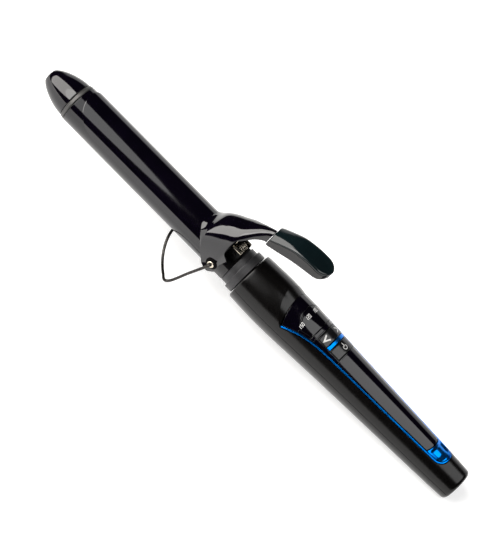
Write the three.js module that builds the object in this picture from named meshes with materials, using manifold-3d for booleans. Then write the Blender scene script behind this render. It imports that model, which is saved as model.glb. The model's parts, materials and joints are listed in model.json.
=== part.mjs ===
// A 26 mm curling iron: heated barrel, sprung clamp, folding wire stand and a two-shell handle
// with a control panel. Units are millimetres. Inside the group named iron, +X runs from the
// tail to the tip, +Z points to the clamp side and the origin is the centre of the tail end.
// The whole iron is then tilted so that it rests on its stand and on its tail.
import * as THREE from 'three';
import { mergeVertices } from 'three/addons/utils/BufferGeometryUtils.js';
import Module from 'manifold-3d';

const wasm = await Module();
wasm.setup();

// ---------------------------------------------------------------- driving dimensions
const DEG = Math.PI / 180;
const GAP = 0.3;
const ROUND = 24;

const TIP_X = 337.8;
const TIP_FLAT_R = 4;
const TIP_BASE_R = 12.05;
const BARREL_R = 12.8;
const BARREL_BORE_R = 11.8;
const BARREL_BACK = 199;
const BARREL_FRONT = 313.9;
const RING_FRONT = 316.8;
const RING_BORE_R = 8.9;
const SPIGOT_R = 11.5;
const SPIGOT_SMALL_R = 8.6;
const HEATER_X = [214, 300];
const HEATER_SPLIT = 1.6;
const HOLDER_WALL = 1.5;
const HOLDER_WEB = 1.8;

const PIVOT_X = 192;
const PIVOT_Z = 1;
const PIVOT_HOLE_R = 1.95;
const NECK_BACK = 166.4;
const NECK_SPIGOT_FRONT = 212;
const PLATFORM_BACK = 182.2;
const PLATFORM_FRONT = 190.6;
const PLATFORM_Z = 4.1;
const COLLAR_BACK = 172.9;
const COLLAR_STEP = 177.8;
const COLLAR_FRONT = 181.9;
const COLLAR_BIG_R = 14.1;
const COLLAR_SMALL_R = 12.7;
const NECK_SHANK_R = 8.4;
const NECK_FLANGE_R = 11.5;
const WIRE_CHANNEL_R = 4.2;
const WIRE_CHANNEL_Z = -3.6;

const SPRING_X = 186.6;
const SPRING_Z = 10.5;
const COIL_R = 3.1;
const COIL_TURNS = 4;
const BRACKET_X = [183.2, 190.2];
const BRACKET_HALF_W = 5.9;
const BRACKET_BASE = PLATFORM_Z + GAP;
const BRACKET_TOP = 13.9;
const BRACKET_SHEET = 0.7;
const BRACKET_SCREW_X = 188.6;

const PLATE_IN_R = 13.1;
const PLATE_OUT_R = 13.8;
const PLATE_HALF_ANGLE = 82 * DEG;
const PLATE_BACK = 200;
const PLATE_FRONT = 311;
const PLATE_NOSE = 20;

const LEVER_T = 0.85;
const EAR_OUT_Y = 14.95;
const EAR_LOBE_R = 7.6;
const LEVER_OPEN_X = 213;
const ARM_END = 177.8;
const TONGUE_END = 152;
const TONGUE_HALF_W = 3;
const TONGUE_T = 1.2;
const THUMB_SCREW_X = 164;

// Stand: wire, and its two feet and the top of its arch measured from the pivot.
const WIRE_R = 0.9;
const EYELET_BORE_R = 1.05;
const EYELET_R = 1.65;
const KNEE = new THREE.Vector3(0.35, 17.8, -0.85);
const APEX = new THREE.Vector3(31.5, 0, -15.2);
const FOOT = new THREE.Vector3(12.3, 22.8, -31.3);

const HANDLE_FRONT = 172.3;
const WALL = 2.6;
const FRONT_WALL = 2.6;
const TAIL_EDGE = 2.6;
const TAIL_WALL = 3.2;
const TAIL_HOLE_R = 5.7;
const SEAM = 0.15;
const SHELL_SCREWS = [['rear', 40], ['front', 150]];
const POST_R = 3;

const PANEL_SINK = 1.5;
const TRIM_HALF_W = 0.65;
const PANEL_BULGE = 4.8;
const PANEL_FRONT = 137.9;
const INLAY_FRONT = 26.5;
const KEY_HALF_ANGLE = 33 * DEG;
const POWER_X = [100.6, 107.7];
const BAR_X = [108.1, 110.3];
const ROCKER_X = [110.7, 117.6];
const WINDOW_X = [120.9, 136.6];
const KEY_PROUD = 0.35;
const KEY_FLOOR_Z = 11.6;
const BOARD_X = [96, 140];
const BOARD_Z = 8.5;
const BOARD_T = 1.2;
const DISPLAY_X = [122.5, 135.5];
const TERMINAL_X = [62, 78];

const SWIVEL_BORE_R = 3.2;
const SWIVEL_R = 5.3;
const SWIVEL_FLANGE_R = 7.6;
const SWIVEL_FLANGE_FRONT = 5.4;
const SWIVEL_FRONT = 13;

// Outer radius of the handle along its length, tail to front.
const HANDLE_PROFILE = [
  [TAIL_EDGE, 10.95], [14.6, 11.6], [49.7, 12.9], [96.5, 14.6], [120, 15.65],
  [136, 16.45], [152, 16.85], [164, 16.55], [171.4, 16.2],
];
// Half width of the blue rail along the surface, from the panel's front corner to the tail.
const RAIL_OUTLINE = [
  [141.5, 21.7], [137.9, 20.1], [132.3, 17.5], [125.9, 14.9], [116.7, 12.9], [100.6, 11.4], [72.8, 10.1],
  [38.6, 8.5], [25.5, 7.8], [19.5, 7.2], [16.6, 5.2], [15.5, 2.6], [15.3, 0],
];
// Side outline of the clamp lever: front edge, ear, rear edge, underside of the arm.
const LEVER_FRONT = [
  [211.4, 40], [211.4, 14], [212.5, 12.2], [208.8, 9.2], [204.7, 5.2], [198.6, -2.4],
];
const LEVER_REAR = [
  [184.9, 3.2], [187.3, 8], [190.2, 12.6], [191, 17], [190.7, 24.2], [187.8, 27], [184.3, 30.8],
  [181.9, 32.8], [179.6, 34], [176.5, 35],
];
// Each ear's own flat between the lobe and the arch.
const EAR_OUTLINE = [
  [184.9, 3.2], [187.3, 8], [190.2, 12.2], [196, 12.2], [200, 2], [198.6, -2.4], [189.5, 0],
];
// Arch of the lever at stations along the iron: position, height of the top, half width, squareness.
const LEVER_ARCHES = [
  [214, 14.95, 14.95, 2], [209.9, 15.1, 14.95, 2], [205.7, 20.4, 14.95, 2.2], [200.8, 24.4, 14.95, 2.5],
  [196.1, 28.1, 14.95, 2.5], [191.3, 32.1, 14.95, 2.5], [189, 34.2, 13.3, 2.5], [186.6, 36.4, 11.4, 2.5],
  [184.3, 38.4, 9.5, 2.5], [181.9, 40, 8, 2.5], [179.6, 41.5, 6.6, 2.5], [176, 42.8, 6, 2.5],
];
const LEVER_STATIONS = [
  LEVER_OPEN_X, 209.9, 207.5, 205, 202, 199, 196, 193.5, 191.3, 189, 186.6, 184.3, 181.9, 179.4, ARM_END,
];
// Thumb rest, seen from the side: underside, seam between base and pad.
const THUMB_UNDERSIDE = [
  [138.4, 46.4], [142, 44.2], [147, 43.1], [153.4, 41.8], [160.7, 40], [170.4, 36.8], [177.5, 34.6],
];
const THUMB_SEAM = [
  [138.4, 48.9], [142.6, 49.3], [151.7, 49.3], [160.7, 48], [164.7, 46.8], [170.4, 44], [177.5, 40],
];
// Half section of the thumb pad as shares of its half width and heights: at the rear, at the front.
const PAD_FLAT = [[1, 0], [0.97, 0.9], [0.8, 1.45], [0.4, 1.3], [0, 1.25]];
const PAD_ROOF = [[1, 0], [0.97, 0.6], [0.8, 1.75], [0.42, 3.35], [0, 3.7]];
const THUMB_BACK = 138.6;
const THUMB_FRONT = 177.4;
const THUMB_HALF_W = 7.5;
const THUMB_NOSE = 8;

// ---------------------------------------------------------------- small geometry helpers

// Smooth value at x through rows sorted by their first number, in either order.
function smooth(table, x, column = 1) {
  const rows = table[0][0] < table[table.length - 1][0] ? table : [...table].reverse();
  const last = rows.length - 1;
  let i = 0;
  while (i < last - 1 && x > rows[i + 1][0]) i += 1;
  const slope = (k) => {
    const a = rows[Math.max(k - 1, 0)];
    const b = rows[Math.min(k + 1, last)];
    return (b[column] - a[column]) / (b[0] - a[0]);
  };
  const span = rows[i + 1][0] - rows[i][0];
  const t = clamp((x - rows[i][0]) / span, 0, 1);
  const [t2, t3] = [t * t, t * t * t];
  return rows[i][column] * (2 * t3 - 3 * t2 + 1) + slope(i) * span * (t3 - 2 * t2 + t)
    + rows[i + 1][column] * (3 * t2 - 2 * t3) + slope(i + 1) * span * (t3 - t2);
}

const clamp = (value, low, high) => Math.min(Math.max(value, low), high);

const middle = ([low, high]) => (low + high) / 2;

const handleRadius = (x) => smooth(HANDLE_PROFILE, clamp(x, TAIL_EDGE, 171.4));

// Point on a cylinder around the iron's axis; angle 0 is the clamp side, positive towards +Y.
const onRound = (x, radius, angle) =>
  new THREE.Vector3(x, radius * Math.sin(angle), radius * Math.cos(angle));

const steps = (from, to, count) =>
  Array.from({ length: count + 1 }, (_, i) => from + ((to - from) * i) / count);

// Closed geometry from points and triangles, turned so that its faces point out.
function closedGeometry(points, triangles) {
  let volume = 0;
  for (const [a, b, c] of triangles) {
    volume += points[a].dot(new THREE.Vector3().crossVectors(points[b], points[c]));
  }
  const ordered = volume < 0 ? triangles.map(([a, b, c]) => [a, c, b]) : triangles;
  const geometry = new THREE.BufferGeometry();
  const flat = points.flatMap((p) => [p.x, p.y, p.z]);
  geometry.setAttribute('position', new THREE.Float32BufferAttribute(flat, 3));
  geometry.setIndex(ordered.flat());
  return geometry;
}

// Solid between two grids of points of the same size, closed round their edges.
function sheetSolid(outer, inner) {
  const rows = outer.length;
  const columns = outer[0].length;
  const points = [...outer.flat(), ...inner.flat()];
  const at = (i, j) => i * columns + j;
  const half = rows * columns;
  const triangles = [];
  const quad = (a, b, c, d) => triangles.push([a, b, c], [a, c, d]);
  for (let i = 0; i < rows - 1; i += 1) {
    for (let j = 0; j < columns - 1; j += 1) {
      quad(at(i, j), at(i + 1, j), at(i + 1, j + 1), at(i, j + 1));
      quad(half + at(i, j), half + at(i, j + 1), half + at(i + 1, j + 1), half + at(i + 1, j));
    }
    quad(at(i, 0), half + at(i, 0), half + at(i + 1, 0), at(i + 1, 0));
    const j = columns - 1;
    quad(at(i, j), at(i + 1, j), half + at(i + 1, j), half + at(i, j));
  }
  for (let j = 0; j < columns - 1; j += 1) {
    quad(at(0, j), at(0, j + 1), half + at(0, j + 1), half + at(0, j));
    const i = rows - 1;
    quad(at(i, j), half + at(i, j), half + at(i, j + 1), at(i, j + 1));
  }
  return closedGeometry(points, triangles);
}

// Solid through closed convex loops of equal length, with flat ends.
function loftSolid(loops) {
  const n = loops[0].length;
  const points = loops.flat();
  const triangles = [];
  for (let k = 0; k < loops.length - 1; k += 1) {
    for (let j = 0; j < n; j += 1) {
      const next = (j + 1) % n;
      const [a, b, c, d] = [k * n + j, k * n + next, (k + 1) * n + next, (k + 1) * n + j];
      triangles.push([a, b, c], [a, c, d]);
    }
  }
  const top = (loops.length - 1) * n;
  for (let j = 1; j < n - 1; j += 1) {
    triangles.push([0, j + 1, j], [top, top + j, top + j + 1]);
  }
  return closedGeometry(points, triangles);
}

// Turned piece from a closed or axis-to-axis outline of [x, radius], given tip-wards outside first.
function turned(outline, segments = ROUND) {
  const points = outline.map(([x, radius]) => new THREE.Vector2(radius, x));
  return new THREE.LatheGeometry(points, segments).rotateZ(-Math.PI / 2);
}

// Ring outline for turned(): a tube from back to front.
const tubeOutline = (back, front, outR, inR) =>
  [[back, inR], [back, outR], [front, outR], [front, inR], [back, inR]];

const rodOutline = (back, front, radius) => [[back, 0], [back, radius], [front, radius], [front, 0]];

// Rod along Y or Z, centred on (x, y, z).
function rod(x, y, z, radius, length, axis, segments = 20) {
  const geometry = new THREE.CylinderGeometry(radius, radius, length, segments);
  if (axis === 'z') geometry.rotateX(Math.PI / 2);
  return geometry.translate(x, y, z);
}

function box(x, y, z) {
  const geometry = new THREE.BoxGeometry(x[1] - x[0], y[1] - y[0], z[1] - z[0]);
  return geometry.translate((x[0] + x[1]) / 2, (y[0] + y[1]) / 2, (z[0] + z[1]) / 2);
}

// Round wire along a curve.
function wire(curve, radius, count, sides = 8) {
  const section = new THREE.Shape();
  section.absarc(0, 0, radius, 0, 2 * Math.PI);
  return new THREE.ExtrudeGeometry(section, {
    steps: count, curveSegments: sides / 2, extrudePath: curve, bevelEnabled: false,
  });
}

// Outline in the X-Z plane, extruded across Y.
function slab(outline, y0, y1) {
  const shape = new THREE.Shape(outline.map(([x, z]) => new THREE.Vector2(x, z)));
  const geometry = new THREE.ExtrudeGeometry(shape, { depth: y1 - y0, bevelEnabled: false });
  return geometry.rotateX(Math.PI / 2).translate(0, y1, 0);
}

function toManifold(geometry) {
  const bare = geometry.clone();
  bare.deleteAttribute('normal');
  bare.deleteAttribute('uv');
  const merged = mergeVertices(bare, 1e-4);
  const index = merged.getIndex().array;
  const kept = [];
  for (let i = 0; i < index.length; i += 3) {
    const [a, b, c] = [index[i], index[i + 1], index[i + 2]];
    if (a !== b && b !== c && c !== a) kept.push(a, b, c);
  }
  const vertProperties = Float32Array.from(merged.getAttribute('position').array);
  const triVerts = Uint32Array.from(kept);
  return new wasm.Manifold(new wasm.Mesh({ numProp: 3, vertProperties, triVerts }));
}

function fromManifold(manifold) {
  const mesh = manifold.getMesh();
  const geometry = new THREE.BufferGeometry();
  geometry.setAttribute('position', new THREE.Float32BufferAttribute(mesh.vertProperties, 3));
  geometry.setIndex(Array.from(mesh.triVerts));
  return geometry;
}

const cut = (geometry, ...tools) =>
  fromManifold(tools.reduce((left, tool) => left.subtract(toManifold(tool)), toManifold(geometry)));

const join = (geometry, ...others) =>
  fromManifold(others.reduce((left, other) => left.add(toManifold(other)), toManifold(geometry)));

const keep = (geometry, region) => fromManifold(toManifold(geometry).intersect(toManifold(region)));

// ---------------------------------------------------------------- materials
const look = (color, roughness, metalness = 0) =>
  new THREE.MeshStandardMaterial({ color, roughness, metalness });

const glossBlack = look(0x0c0c0e, 0.12, 0.2);
const satinBlack = look(0x2b2b2d, 0.45);
const softBlack = look(0x1c1a19, 0.6);
const padTeal = look(0x10191c, 0.2);
const blueMetal = look(0x0057c8, 0.25, 0.7);
const gunmetal = look(0x45413d, 0.3, 1);
const nickel = look(0xb5ab98, 0.25, 1);
const aluminium = look(0xb8babd, 0.4, 1);
const ceramic = look(0xe6e2da, 0.5);
const keyGrey = look(0x26272a, 0.35);
const smoked = look(0x0a0b0d, 0.05);
const boardGreen = look(0x14502f, 0.5);
const darkPart = look(0x1e1e20, 0.5);
const leadRed = look(0x8c2018, 0.5);

const iron = new THREE.Group();

function add(name, geometry, material) {
  const mesh = new THREE.Mesh(geometry, material);
  mesh.name = name;
  iron.add(mesh);
}

// ---------------------------------------------------------------- barrel and heater

function addBarrel() {
  add('barrel_tube', turned(tubeOutline(BARREL_BACK, BARREL_FRONT, BARREL_R, BARREL_BORE_R)), glossBlack);
}

// Satin ring between the barrel and the cool tip.
function addTipRing() {
  const back = BARREL_FRONT + GAP;
  const outline = [
    [back, RING_BORE_R], [back, TIP_BASE_R + 0.35], [back + 0.6, TIP_BASE_R + 0.6],
    [RING_FRONT - 0.5, TIP_BASE_R + 0.25], [RING_FRONT, TIP_BASE_R - 0.05], [RING_FRONT, RING_BORE_R],
    [back, RING_BORE_R],
  ];
  add('tip_ring', turned(outline), satinBlack);
}

// Blunt ogive with a spigot that plugs the barrel.
function addTipCap() {
  const base = RING_FRONT + GAP;
  const length = TIP_X - base;
  const ogive = [0, 0.2, 0.38, 0.54, 0.68, 0.8, 0.9, 0.97, 1].map((t) => [
    base + length * t, TIP_FLAT_R + (TIP_BASE_R - TIP_FLAT_R) * (1 - t ** 1.7) ** 0.75,
  ]);
  const spigotBack = BARREL_FRONT - 4;
  const outline = [
    [spigotBack, 0], [spigotBack, SPIGOT_R], [BARREL_FRONT - 0.2, SPIGOT_R],
    [BARREL_FRONT, SPIGOT_SMALL_R], [base, SPIGOT_SMALL_R], ...ogive, [TIP_X, 0],
  ];
  add('tip_cap', turned(outline), glossBlack);
}

// Flat ceramic heater held between two hollow half-round aluminium extrusions.
function addHeater() {
  const [back, front] = HEATER_X;
  const depth = front - back;
  const arch = (path, radius, flat) => {
    const lift = Math.asin(flat / radius);
    return path.absarc(0, 0, radius, lift, Math.PI - lift);
  };
  const halfRound = (side) => {
    const radius = BARREL_BORE_R - GAP;
    const shape = arch(new THREE.Shape(), radius, HEATER_SPLIT);
    shape.holes.push(arch(new THREE.Path(), radius - HOLDER_WALL, HEATER_SPLIT + HOLDER_WEB));
    const bar = new THREE.ExtrudeGeometry(shape, { depth, bevelEnabled: false, curveSegments: 20 });
    bar.rotateX(Math.PI / 2).rotateZ(Math.PI / 2).translate(back, 0, 0);
    return side > 0 ? bar : bar.rotateX(Math.PI);
  };
  add('heater_holder_upper', halfRound(1), aluminium);
  add('heater_holder_lower', halfRound(-1), aluminium);
  const halfT = HEATER_SPLIT - GAP - 0.05;
  add('ceramic_heater', box([back + 4, front - 6], [-4.5, 4.5], [-halfT, halfT]), ceramic);
  add('thermostat_sensor', turned(rodOutline(front + 0.6, front + 7, 2.2), 16), darkPart);
}

// Two insulated leads from the heater through the neck to the terminal block.
function addLeads() {
  for (const [name, side] of [['heater_lead_left', 1], ['heater_lead_right', -1]]) {
    const route = new THREE.CatmullRomCurve3([
      [217.6, 2.2, 0], [214, 2.2, 0], [207, 1.9, -3], [190, 1.8, -3.8], [164, 2, -3.8],
      [157, 3.6, -3.7], [150, 5.6, -3.5], [140, 7, -3], [120, 7.4, -2.4], [92, 5, -1.5], [78.5, 3, -1],
    ].map(([x, y, z]) => new THREE.Vector3(x, side * y, z)));
    add(name, wire(route, 0.8, 20, 6), leadRed);
  }
}

// ---------------------------------------------------------------- neck and collar

// Core that carries the barrel: shank in the handle, round pivot block, flat for the spring.
function addNeck() {
  const core = turned([
    [NECK_BACK, 0], [NECK_BACK, NECK_FLANGE_R], [NECK_BACK + 3, NECK_FLANGE_R],
    [NECK_BACK + 3, NECK_SHANK_R], [PLATFORM_BACK, NECK_SHANK_R], [PLATFORM_BACK, BARREL_R],
    [BARREL_BACK - GAP, BARREL_R], [BARREL_BACK - GAP, SPIGOT_R], [NECK_SPIGOT_FRONT, SPIGOT_R],
    [NECK_SPIGOT_FRONT, 0],
  ]);
  const flat = box([PLATFORM_BACK - 0.01, PLATFORM_FRONT], [-15, 15], [PLATFORM_Z, 15]);
  const channel = turned(rodOutline(150, 220, WIRE_CHANNEL_R), 20).translate(0, 0, WIRE_CHANNEL_Z);
  const pivots = rod(PIVOT_X, 0, PIVOT_Z, PIVOT_HOLE_R, 40, 'y');
  add('neck', cut(core, flat, channel, pivots), satinBlack);
}

// Stepped collar between the handle and the neck.
function addCollar() {
  const inner = NECK_SHANK_R + GAP;
  const outline = [
    [COLLAR_BACK, inner], [COLLAR_BACK, COLLAR_BIG_R], [COLLAR_STEP - 0.3, COLLAR_BIG_R],
    [COLLAR_STEP, COLLAR_BIG_R - 0.3], [COLLAR_STEP, COLLAR_SMALL_R],
    [COLLAR_FRONT - 0.2, COLLAR_SMALL_R], [COLLAR_FRONT, COLLAR_SMALL_R - 0.2],
    [COLLAR_FRONT, inner], [COLLAR_BACK, inner],
  ];
  add('collar_ring', turned(outline), satinBlack);
}

// Channel on the flat, with a pin that carries the torsion spring.
function addSpringBracket() {
  const inner = BRACKET_HALF_W - BRACKET_SHEET;
  const channel = box(BRACKET_X, [-BRACKET_HALF_W, BRACKET_HALF_W], [BRACKET_BASE, BRACKET_TOP]);
  const inside = box([180, 193], [-inner, inner], [BRACKET_BASE + BRACKET_SHEET, BRACKET_TOP + 3]);
  const pinHole = rod(SPRING_X, 0, SPRING_Z, 1.4, 30, 'y', 14);
  const screwHole = rod(BRACKET_SCREW_X, 0, BRACKET_BASE, 1.2, 6, 'z', 14);
  add('spring_bracket', cut(channel, inside, pinHole, screwHole), nickel);
  add('spring_pin', rod(SPRING_X, 0, SPRING_Z, 1.1, 2 * BRACKET_HALF_W + 0.8, 'y', 14), nickel);
}

// Torsion spring: one leg on the bracket floor, one inside the lever.
function addClampSpring() {
  const halfSpan = 3.3;
  const points = [
    new THREE.Vector3(SPRING_X + COIL_R, -halfSpan, BRACKET_BASE + 1.7),
    new THREE.Vector3(SPRING_X + COIL_R, -halfSpan, SPRING_Z - 1.5),
  ];
  for (const s of steps(0, 1, COIL_TURNS * 8)) {
    const angle = COIL_TURNS * 2 * Math.PI * s;
    const y = halfSpan * (2 * s - 1);
    points.push(new THREE.Vector3(
      SPRING_X + COIL_R * Math.cos(angle), y, SPRING_Z + COIL_R * Math.sin(angle),
    ));
  }
  const end = points[points.length - 1];
  for (const [x, z] of [[0.3, 4], [1, 8], [1.9, 12]]) {
    points.push(new THREE.Vector3(end.x + x, halfSpan - z * 0.06, end.z + z));
  }
  add('clamp_spring', wire(new THREE.CatmullRomCurve3(points), 0.5, 60, 6), nickel);
}

// ---------------------------------------------------------------- clamp

// Curved sheet that presses the hair on the barrel, with a rounded nose.
function addClampPlate() {
  const rows = [
    ...steps(PLATE_BACK, PLATE_FRONT - PLATE_NOSE, 4).slice(0, -1).map((x) => [x, 1]),
    ...steps(0, 88, 9).map((a) => [
      PLATE_FRONT - PLATE_NOSE * (1 - Math.sin(a * DEG)), Math.cos(a * DEG),
    ]),
  ];
  const grid = (radius) => rows.map(([x, width]) =>
    steps(-1, 1, 14).map((q) => onRound(x, radius, q * width * PLATE_HALF_ANGLE)));
  add('clamp_plate', sheetSolid(grid(PLATE_OUT_R), grid(PLATE_IN_R)), glossBlack);
}

// Half arch of the lever at station x, shrunk by inset, closed below the ears.
function leverArch(x, inset) {
  const top = smooth(LEVER_ARCHES, x, 1) - inset;
  const half = smooth(LEVER_ARCHES, x, 2) - inset;
  const power = 2 / smooth(LEVER_ARCHES, x, 3);
  const floor = -12 - inset * 4;
  const arch = steps(0, Math.PI, 18).map((a) => {
    const side = Math.sign(Math.cos(a)) * Math.abs(Math.cos(a)) ** power;
    return new THREE.Vector3(x, half * side, top * Math.abs(Math.sin(a)) ** power);
  });
  return [new THREE.Vector3(x, half, floor), ...arch, new THREE.Vector3(x, -half, floor)];
}

function leverOutline() {
  const lobe = steps(-150 * DEG, -30 * DEG, 8).map((a) => [
    PIVOT_X + EAR_LOBE_R * Math.cos(a), PIVOT_Z + EAR_LOBE_R * Math.sin(a),
  ]);
  return [
    ...LEVER_FRONT, ...lobe.reverse(), [PIVOT_X - EAR_LOBE_R, PIVOT_Z], ...LEVER_REAR,
    [ARM_END, 50], [211, 50],
  ];
}

// Stamped lever: saddle over the plate, two ears on the pivot and a channel arm with a tongue.
function addClampLever() {
  const outer = loftSolid(LEVER_STATIONS.map((x) => leverArch(x, 0)));
  const ends = [LEVER_OPEN_X + 2, ...LEVER_STATIONS.slice(1, -1), ARM_END - 2];
  const inner = loftSolid(ends.map((x) => leverArch(x, LEVER_T)));
  const earIn = EAR_OUT_Y - LEVER_T;
  const behindEars = box([170, 190.9], [-earIn, earIn], [-20, 20]);
  const shell = cut(keep(cut(outer, inner), slab(leverOutline(), -20, 20)), behindEars);
  const ears = [1, -1].map((side) => {
    const lobe = rod(PIVOT_X, side * (EAR_OUT_Y - LEVER_T / 2), PIVOT_Z, EAR_LOBE_R, LEVER_T, 'y', 24);
    const [y0, y1] = side > 0 ? [earIn, EAR_OUT_Y] : [-EAR_OUT_Y, -earIn];
    return join(lobe, slab(EAR_OUTLINE, y0, y1));
  });
  const lower = steps(TONGUE_END, ARM_END + 3, 8).map((x) => [x, tongueHeight(x)]);
  const upper = lower.map(([x, z]) => [x, z + TONGUE_T]).reverse();
  const tongue = slab([...lower, ...upper], -TONGUE_HALF_W, TONGUE_HALF_W);
  const holes = rod(PIVOT_X, 0, PIVOT_Z, PIVOT_HOLE_R, 40, 'y');
  const screwHole = rod(THUMB_SCREW_X, 0, 43, 1.5, 12, 'z', 14);
  add('clamp_lever', cut(join(shell, ...ears, tongue), holes, screwHole), glossBlack);
}

// ---------------------------------------------------------------- thumb rest

// Underside of the steel tongue inside the thumb rest.
function tongueHeight(x) {
  const half = (smooth(THUMB_UNDERSIDE, x) + smooth(THUMB_SEAM, x)) / 2;
  return half - TONGUE_T / 2 + 3 * Math.max(0, (x - 174) / 6) ** 1.3;
}

const thumbHalfWidth = (x) => {
  const back = Math.min((x - THUMB_BACK) / THUMB_NOSE, 1);
  const front = Math.min((THUMB_FRONT - x) / 2, 1);
  const frontShare = 0.86 + 0.14 * Math.sqrt(1 - (1 - front) ** 2);
  return THUMB_HALF_W * Math.sqrt(1 - (1 - back) ** 2.2) * frontShare;
};

const THUMB_STATIONS = [
  THUMB_BACK + 0.12, 139.3, 140.6, 142.4, 145, 149, 154, 159, 164, 168, 172, 175, 176.6, THUMB_FRONT,
];

// Moulded base with a slot for the steel tongue.
function addThumbBase() {
  const loops = THUMB_STATIONS.map((x) => {
    const half = thumbHalfWidth(x);
    const [low, high] = [smooth(THUMB_UNDERSIDE, x), smooth(THUMB_SEAM, x)];
    const corner = Math.min(1.2, half * 0.3);
    const right = [
      [half - 2 * corner, low], [half - 0.5 * corner, low + 0.6], [half, low + 2], [half, high],
    ];
    const left = right.map(([y, z]) => [-y, z]).reverse();
    return [...right, ...left].map(([y, z]) => new THREE.Vector3(x, y, z));
  });
  const lower = steps(TONGUE_END - GAP, ARM_END + 4, 8).map((x) => [x, tongueHeight(x) - GAP]);
  const upper = lower.map(([x, z]) => [x, z + TONGUE_T + 2 * GAP]).reverse();
  const slot = slab([...lower, ...upper], -TONGUE_HALF_W - GAP, TONGUE_HALF_W + GAP);
  const screwHole = rod(THUMB_SCREW_X, 0, 36.3, 1.5, 20, 'z', 14);
  const headHole = rod(THUMB_SCREW_X, 0, 37.2, 2.8, 7, 'z', 18);
  add('thumb_base', cut(loftSolid(loops), slot, screwHole, headHole), glossBlack);
}

// Pad on top of the base: dished at the rear, a low roof at the front.
function addThumbPad() {
  const loops = THUMB_STATIONS.map((x) => {
    const half = thumbHalfWidth(x) - 0.1;
    const low = smooth(THUMB_SEAM, x) + GAP;
    const front = clamp((x - 155) / 21, 0, 1);
    const roof = front * front * (3 - 2 * front);
    const right = PAD_FLAT.map(([w, h], i) => [
      half * (w + (PAD_ROOF[i][0] - w) * roof), low + h + (PAD_ROOF[i][1] - h) * roof,
    ]);
    const left = right.slice(0, -1).map(([y, z]) => [-y, z]).reverse();
    return [...right, ...left].map(([y, z]) => new THREE.Vector3(x, y, z));
  });
  add('thumb_pad', loftSolid(loops), padTeal);
}

function addThumbScrew() {
  const profile = [[0, 0], [2.4, 0], [2.4, 1], [1.1, 1.3], [1.1, 6], [0, 6]];
  const points = profile.map(([r, z]) => new THREE.Vector2(r, z));
  const screw = new THREE.LatheGeometry(points, 16).rotateX(Math.PI / 2);
  add('thumb_screw', screw.translate(THUMB_SCREW_X, 0, 39.3), nickel);
}

// ---------------------------------------------------------------- pivot and stand

// Domed washer outside each ear, and the eyelet that both ear and stand turn on.
function addPivots() {
  for (const [side, word] of [[1, 'left'], [-1, 'right']]) {
    const place = (outline) => {
      const points = outline.map(([r, y]) => new THREE.Vector2(r, y));
      const piece = new THREE.LatheGeometry(points, 16);
      return (side > 0 ? piece : piece.rotateX(Math.PI)).translate(PIVOT_X, 0, PIVOT_Z);
    };
    const face = EAR_OUT_Y + 0.15;
    const washer = [
      [1.95, face], [3.9, face], [3.9, face + 0.35], [3, face + 0.8], [1.95, face + 0.95], [1.95, face],
    ];
    const eyelet = [
      [EYELET_BORE_R, 9.2], [EYELET_R, 9.2], [EYELET_R, face + 0.9], [2.3, face + 1.15],
      [2.1, face + 1.5], [EYELET_BORE_R, face + 1.5], [EYELET_BORE_R, 9.2],
    ];
    add(`pivot_washer_${word}`, place(washer), darkPart);
    add(`pivot_eyelet_${word}`, place(eyelet), nickel);
  }
}

// One bent wire: pins in the eyelets, straight legs, tight feet and an arch under the barrel.
function addStand() {
  const pin = [10.2, 13.5, KNEE.y - 0.9].map((y) => new THREE.Vector3(0, y, 0));
  const legEnd = new THREE.Vector3().lerpVectors(KNEE, FOOT, 0.93);
  const leg = [0.1, 0.5].map((s) => new THREE.Vector3().lerpVectors(KNEE, legEnd, s));
  const arch = steps(4, 86, 10).map((angle) => {
    const along = Math.sin(angle * DEG);
    const point = new THREE.Vector3().lerpVectors(FOOT, APEX, along);
    point.y = (FOOT.y + 0.5) * Math.cos(angle * DEG);
    return point;
  });
  const half = [...pin, KNEE.clone(), ...leg, legEnd, ...arch];
  const other = half.map((p) => new THREE.Vector3(p.x, -p.y, p.z)).reverse();
  const pivot = new THREE.Vector3(PIVOT_X, 0, PIVOT_Z);
  const route = [...half, APEX.clone(), ...other].map((p) => p.add(pivot));
  const curve = new THREE.CatmullRomCurve3(route, false, 'centripetal');
  add('stand_wire', wire(curve, WIRE_R, 84, 6), gunmetal);
}

// ---------------------------------------------------------------- handle shells

// Middle line of the blue rail as points (position, half width).
const RAIL_POINTS = (() => {
  const curve = new THREE.CatmullRomCurve3(
    RAIL_OUTLINE.map(([x, w]) => new THREE.Vector3(x, w, 0)), false, 'centripetal',
  );
  return curve.getPoints(120);
})();

// The rail's line moved outwards by offset, as [position, half width] rows from the front to the tail.
function railTable(offset) {
  const rows = [];
  RAIL_POINTS.forEach((point, i) => {
    const next = RAIL_POINTS[Math.min(i + 1, RAIL_POINTS.length - 1)];
    const before = RAIL_POINTS[Math.max(i - 1, 0)];
    const way = new THREE.Vector3().subVectors(next, before).normalize();
    const moved = [point.x + way.y * offset, point.y - way.x * offset];
    const last = rows.length === 0 ? Infinity : rows[rows.length - 1][0];
    if (moved[1] > 0.3 && moved[0] < last - 0.01) rows.push(moved);
  });
  return rows;
}

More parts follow.
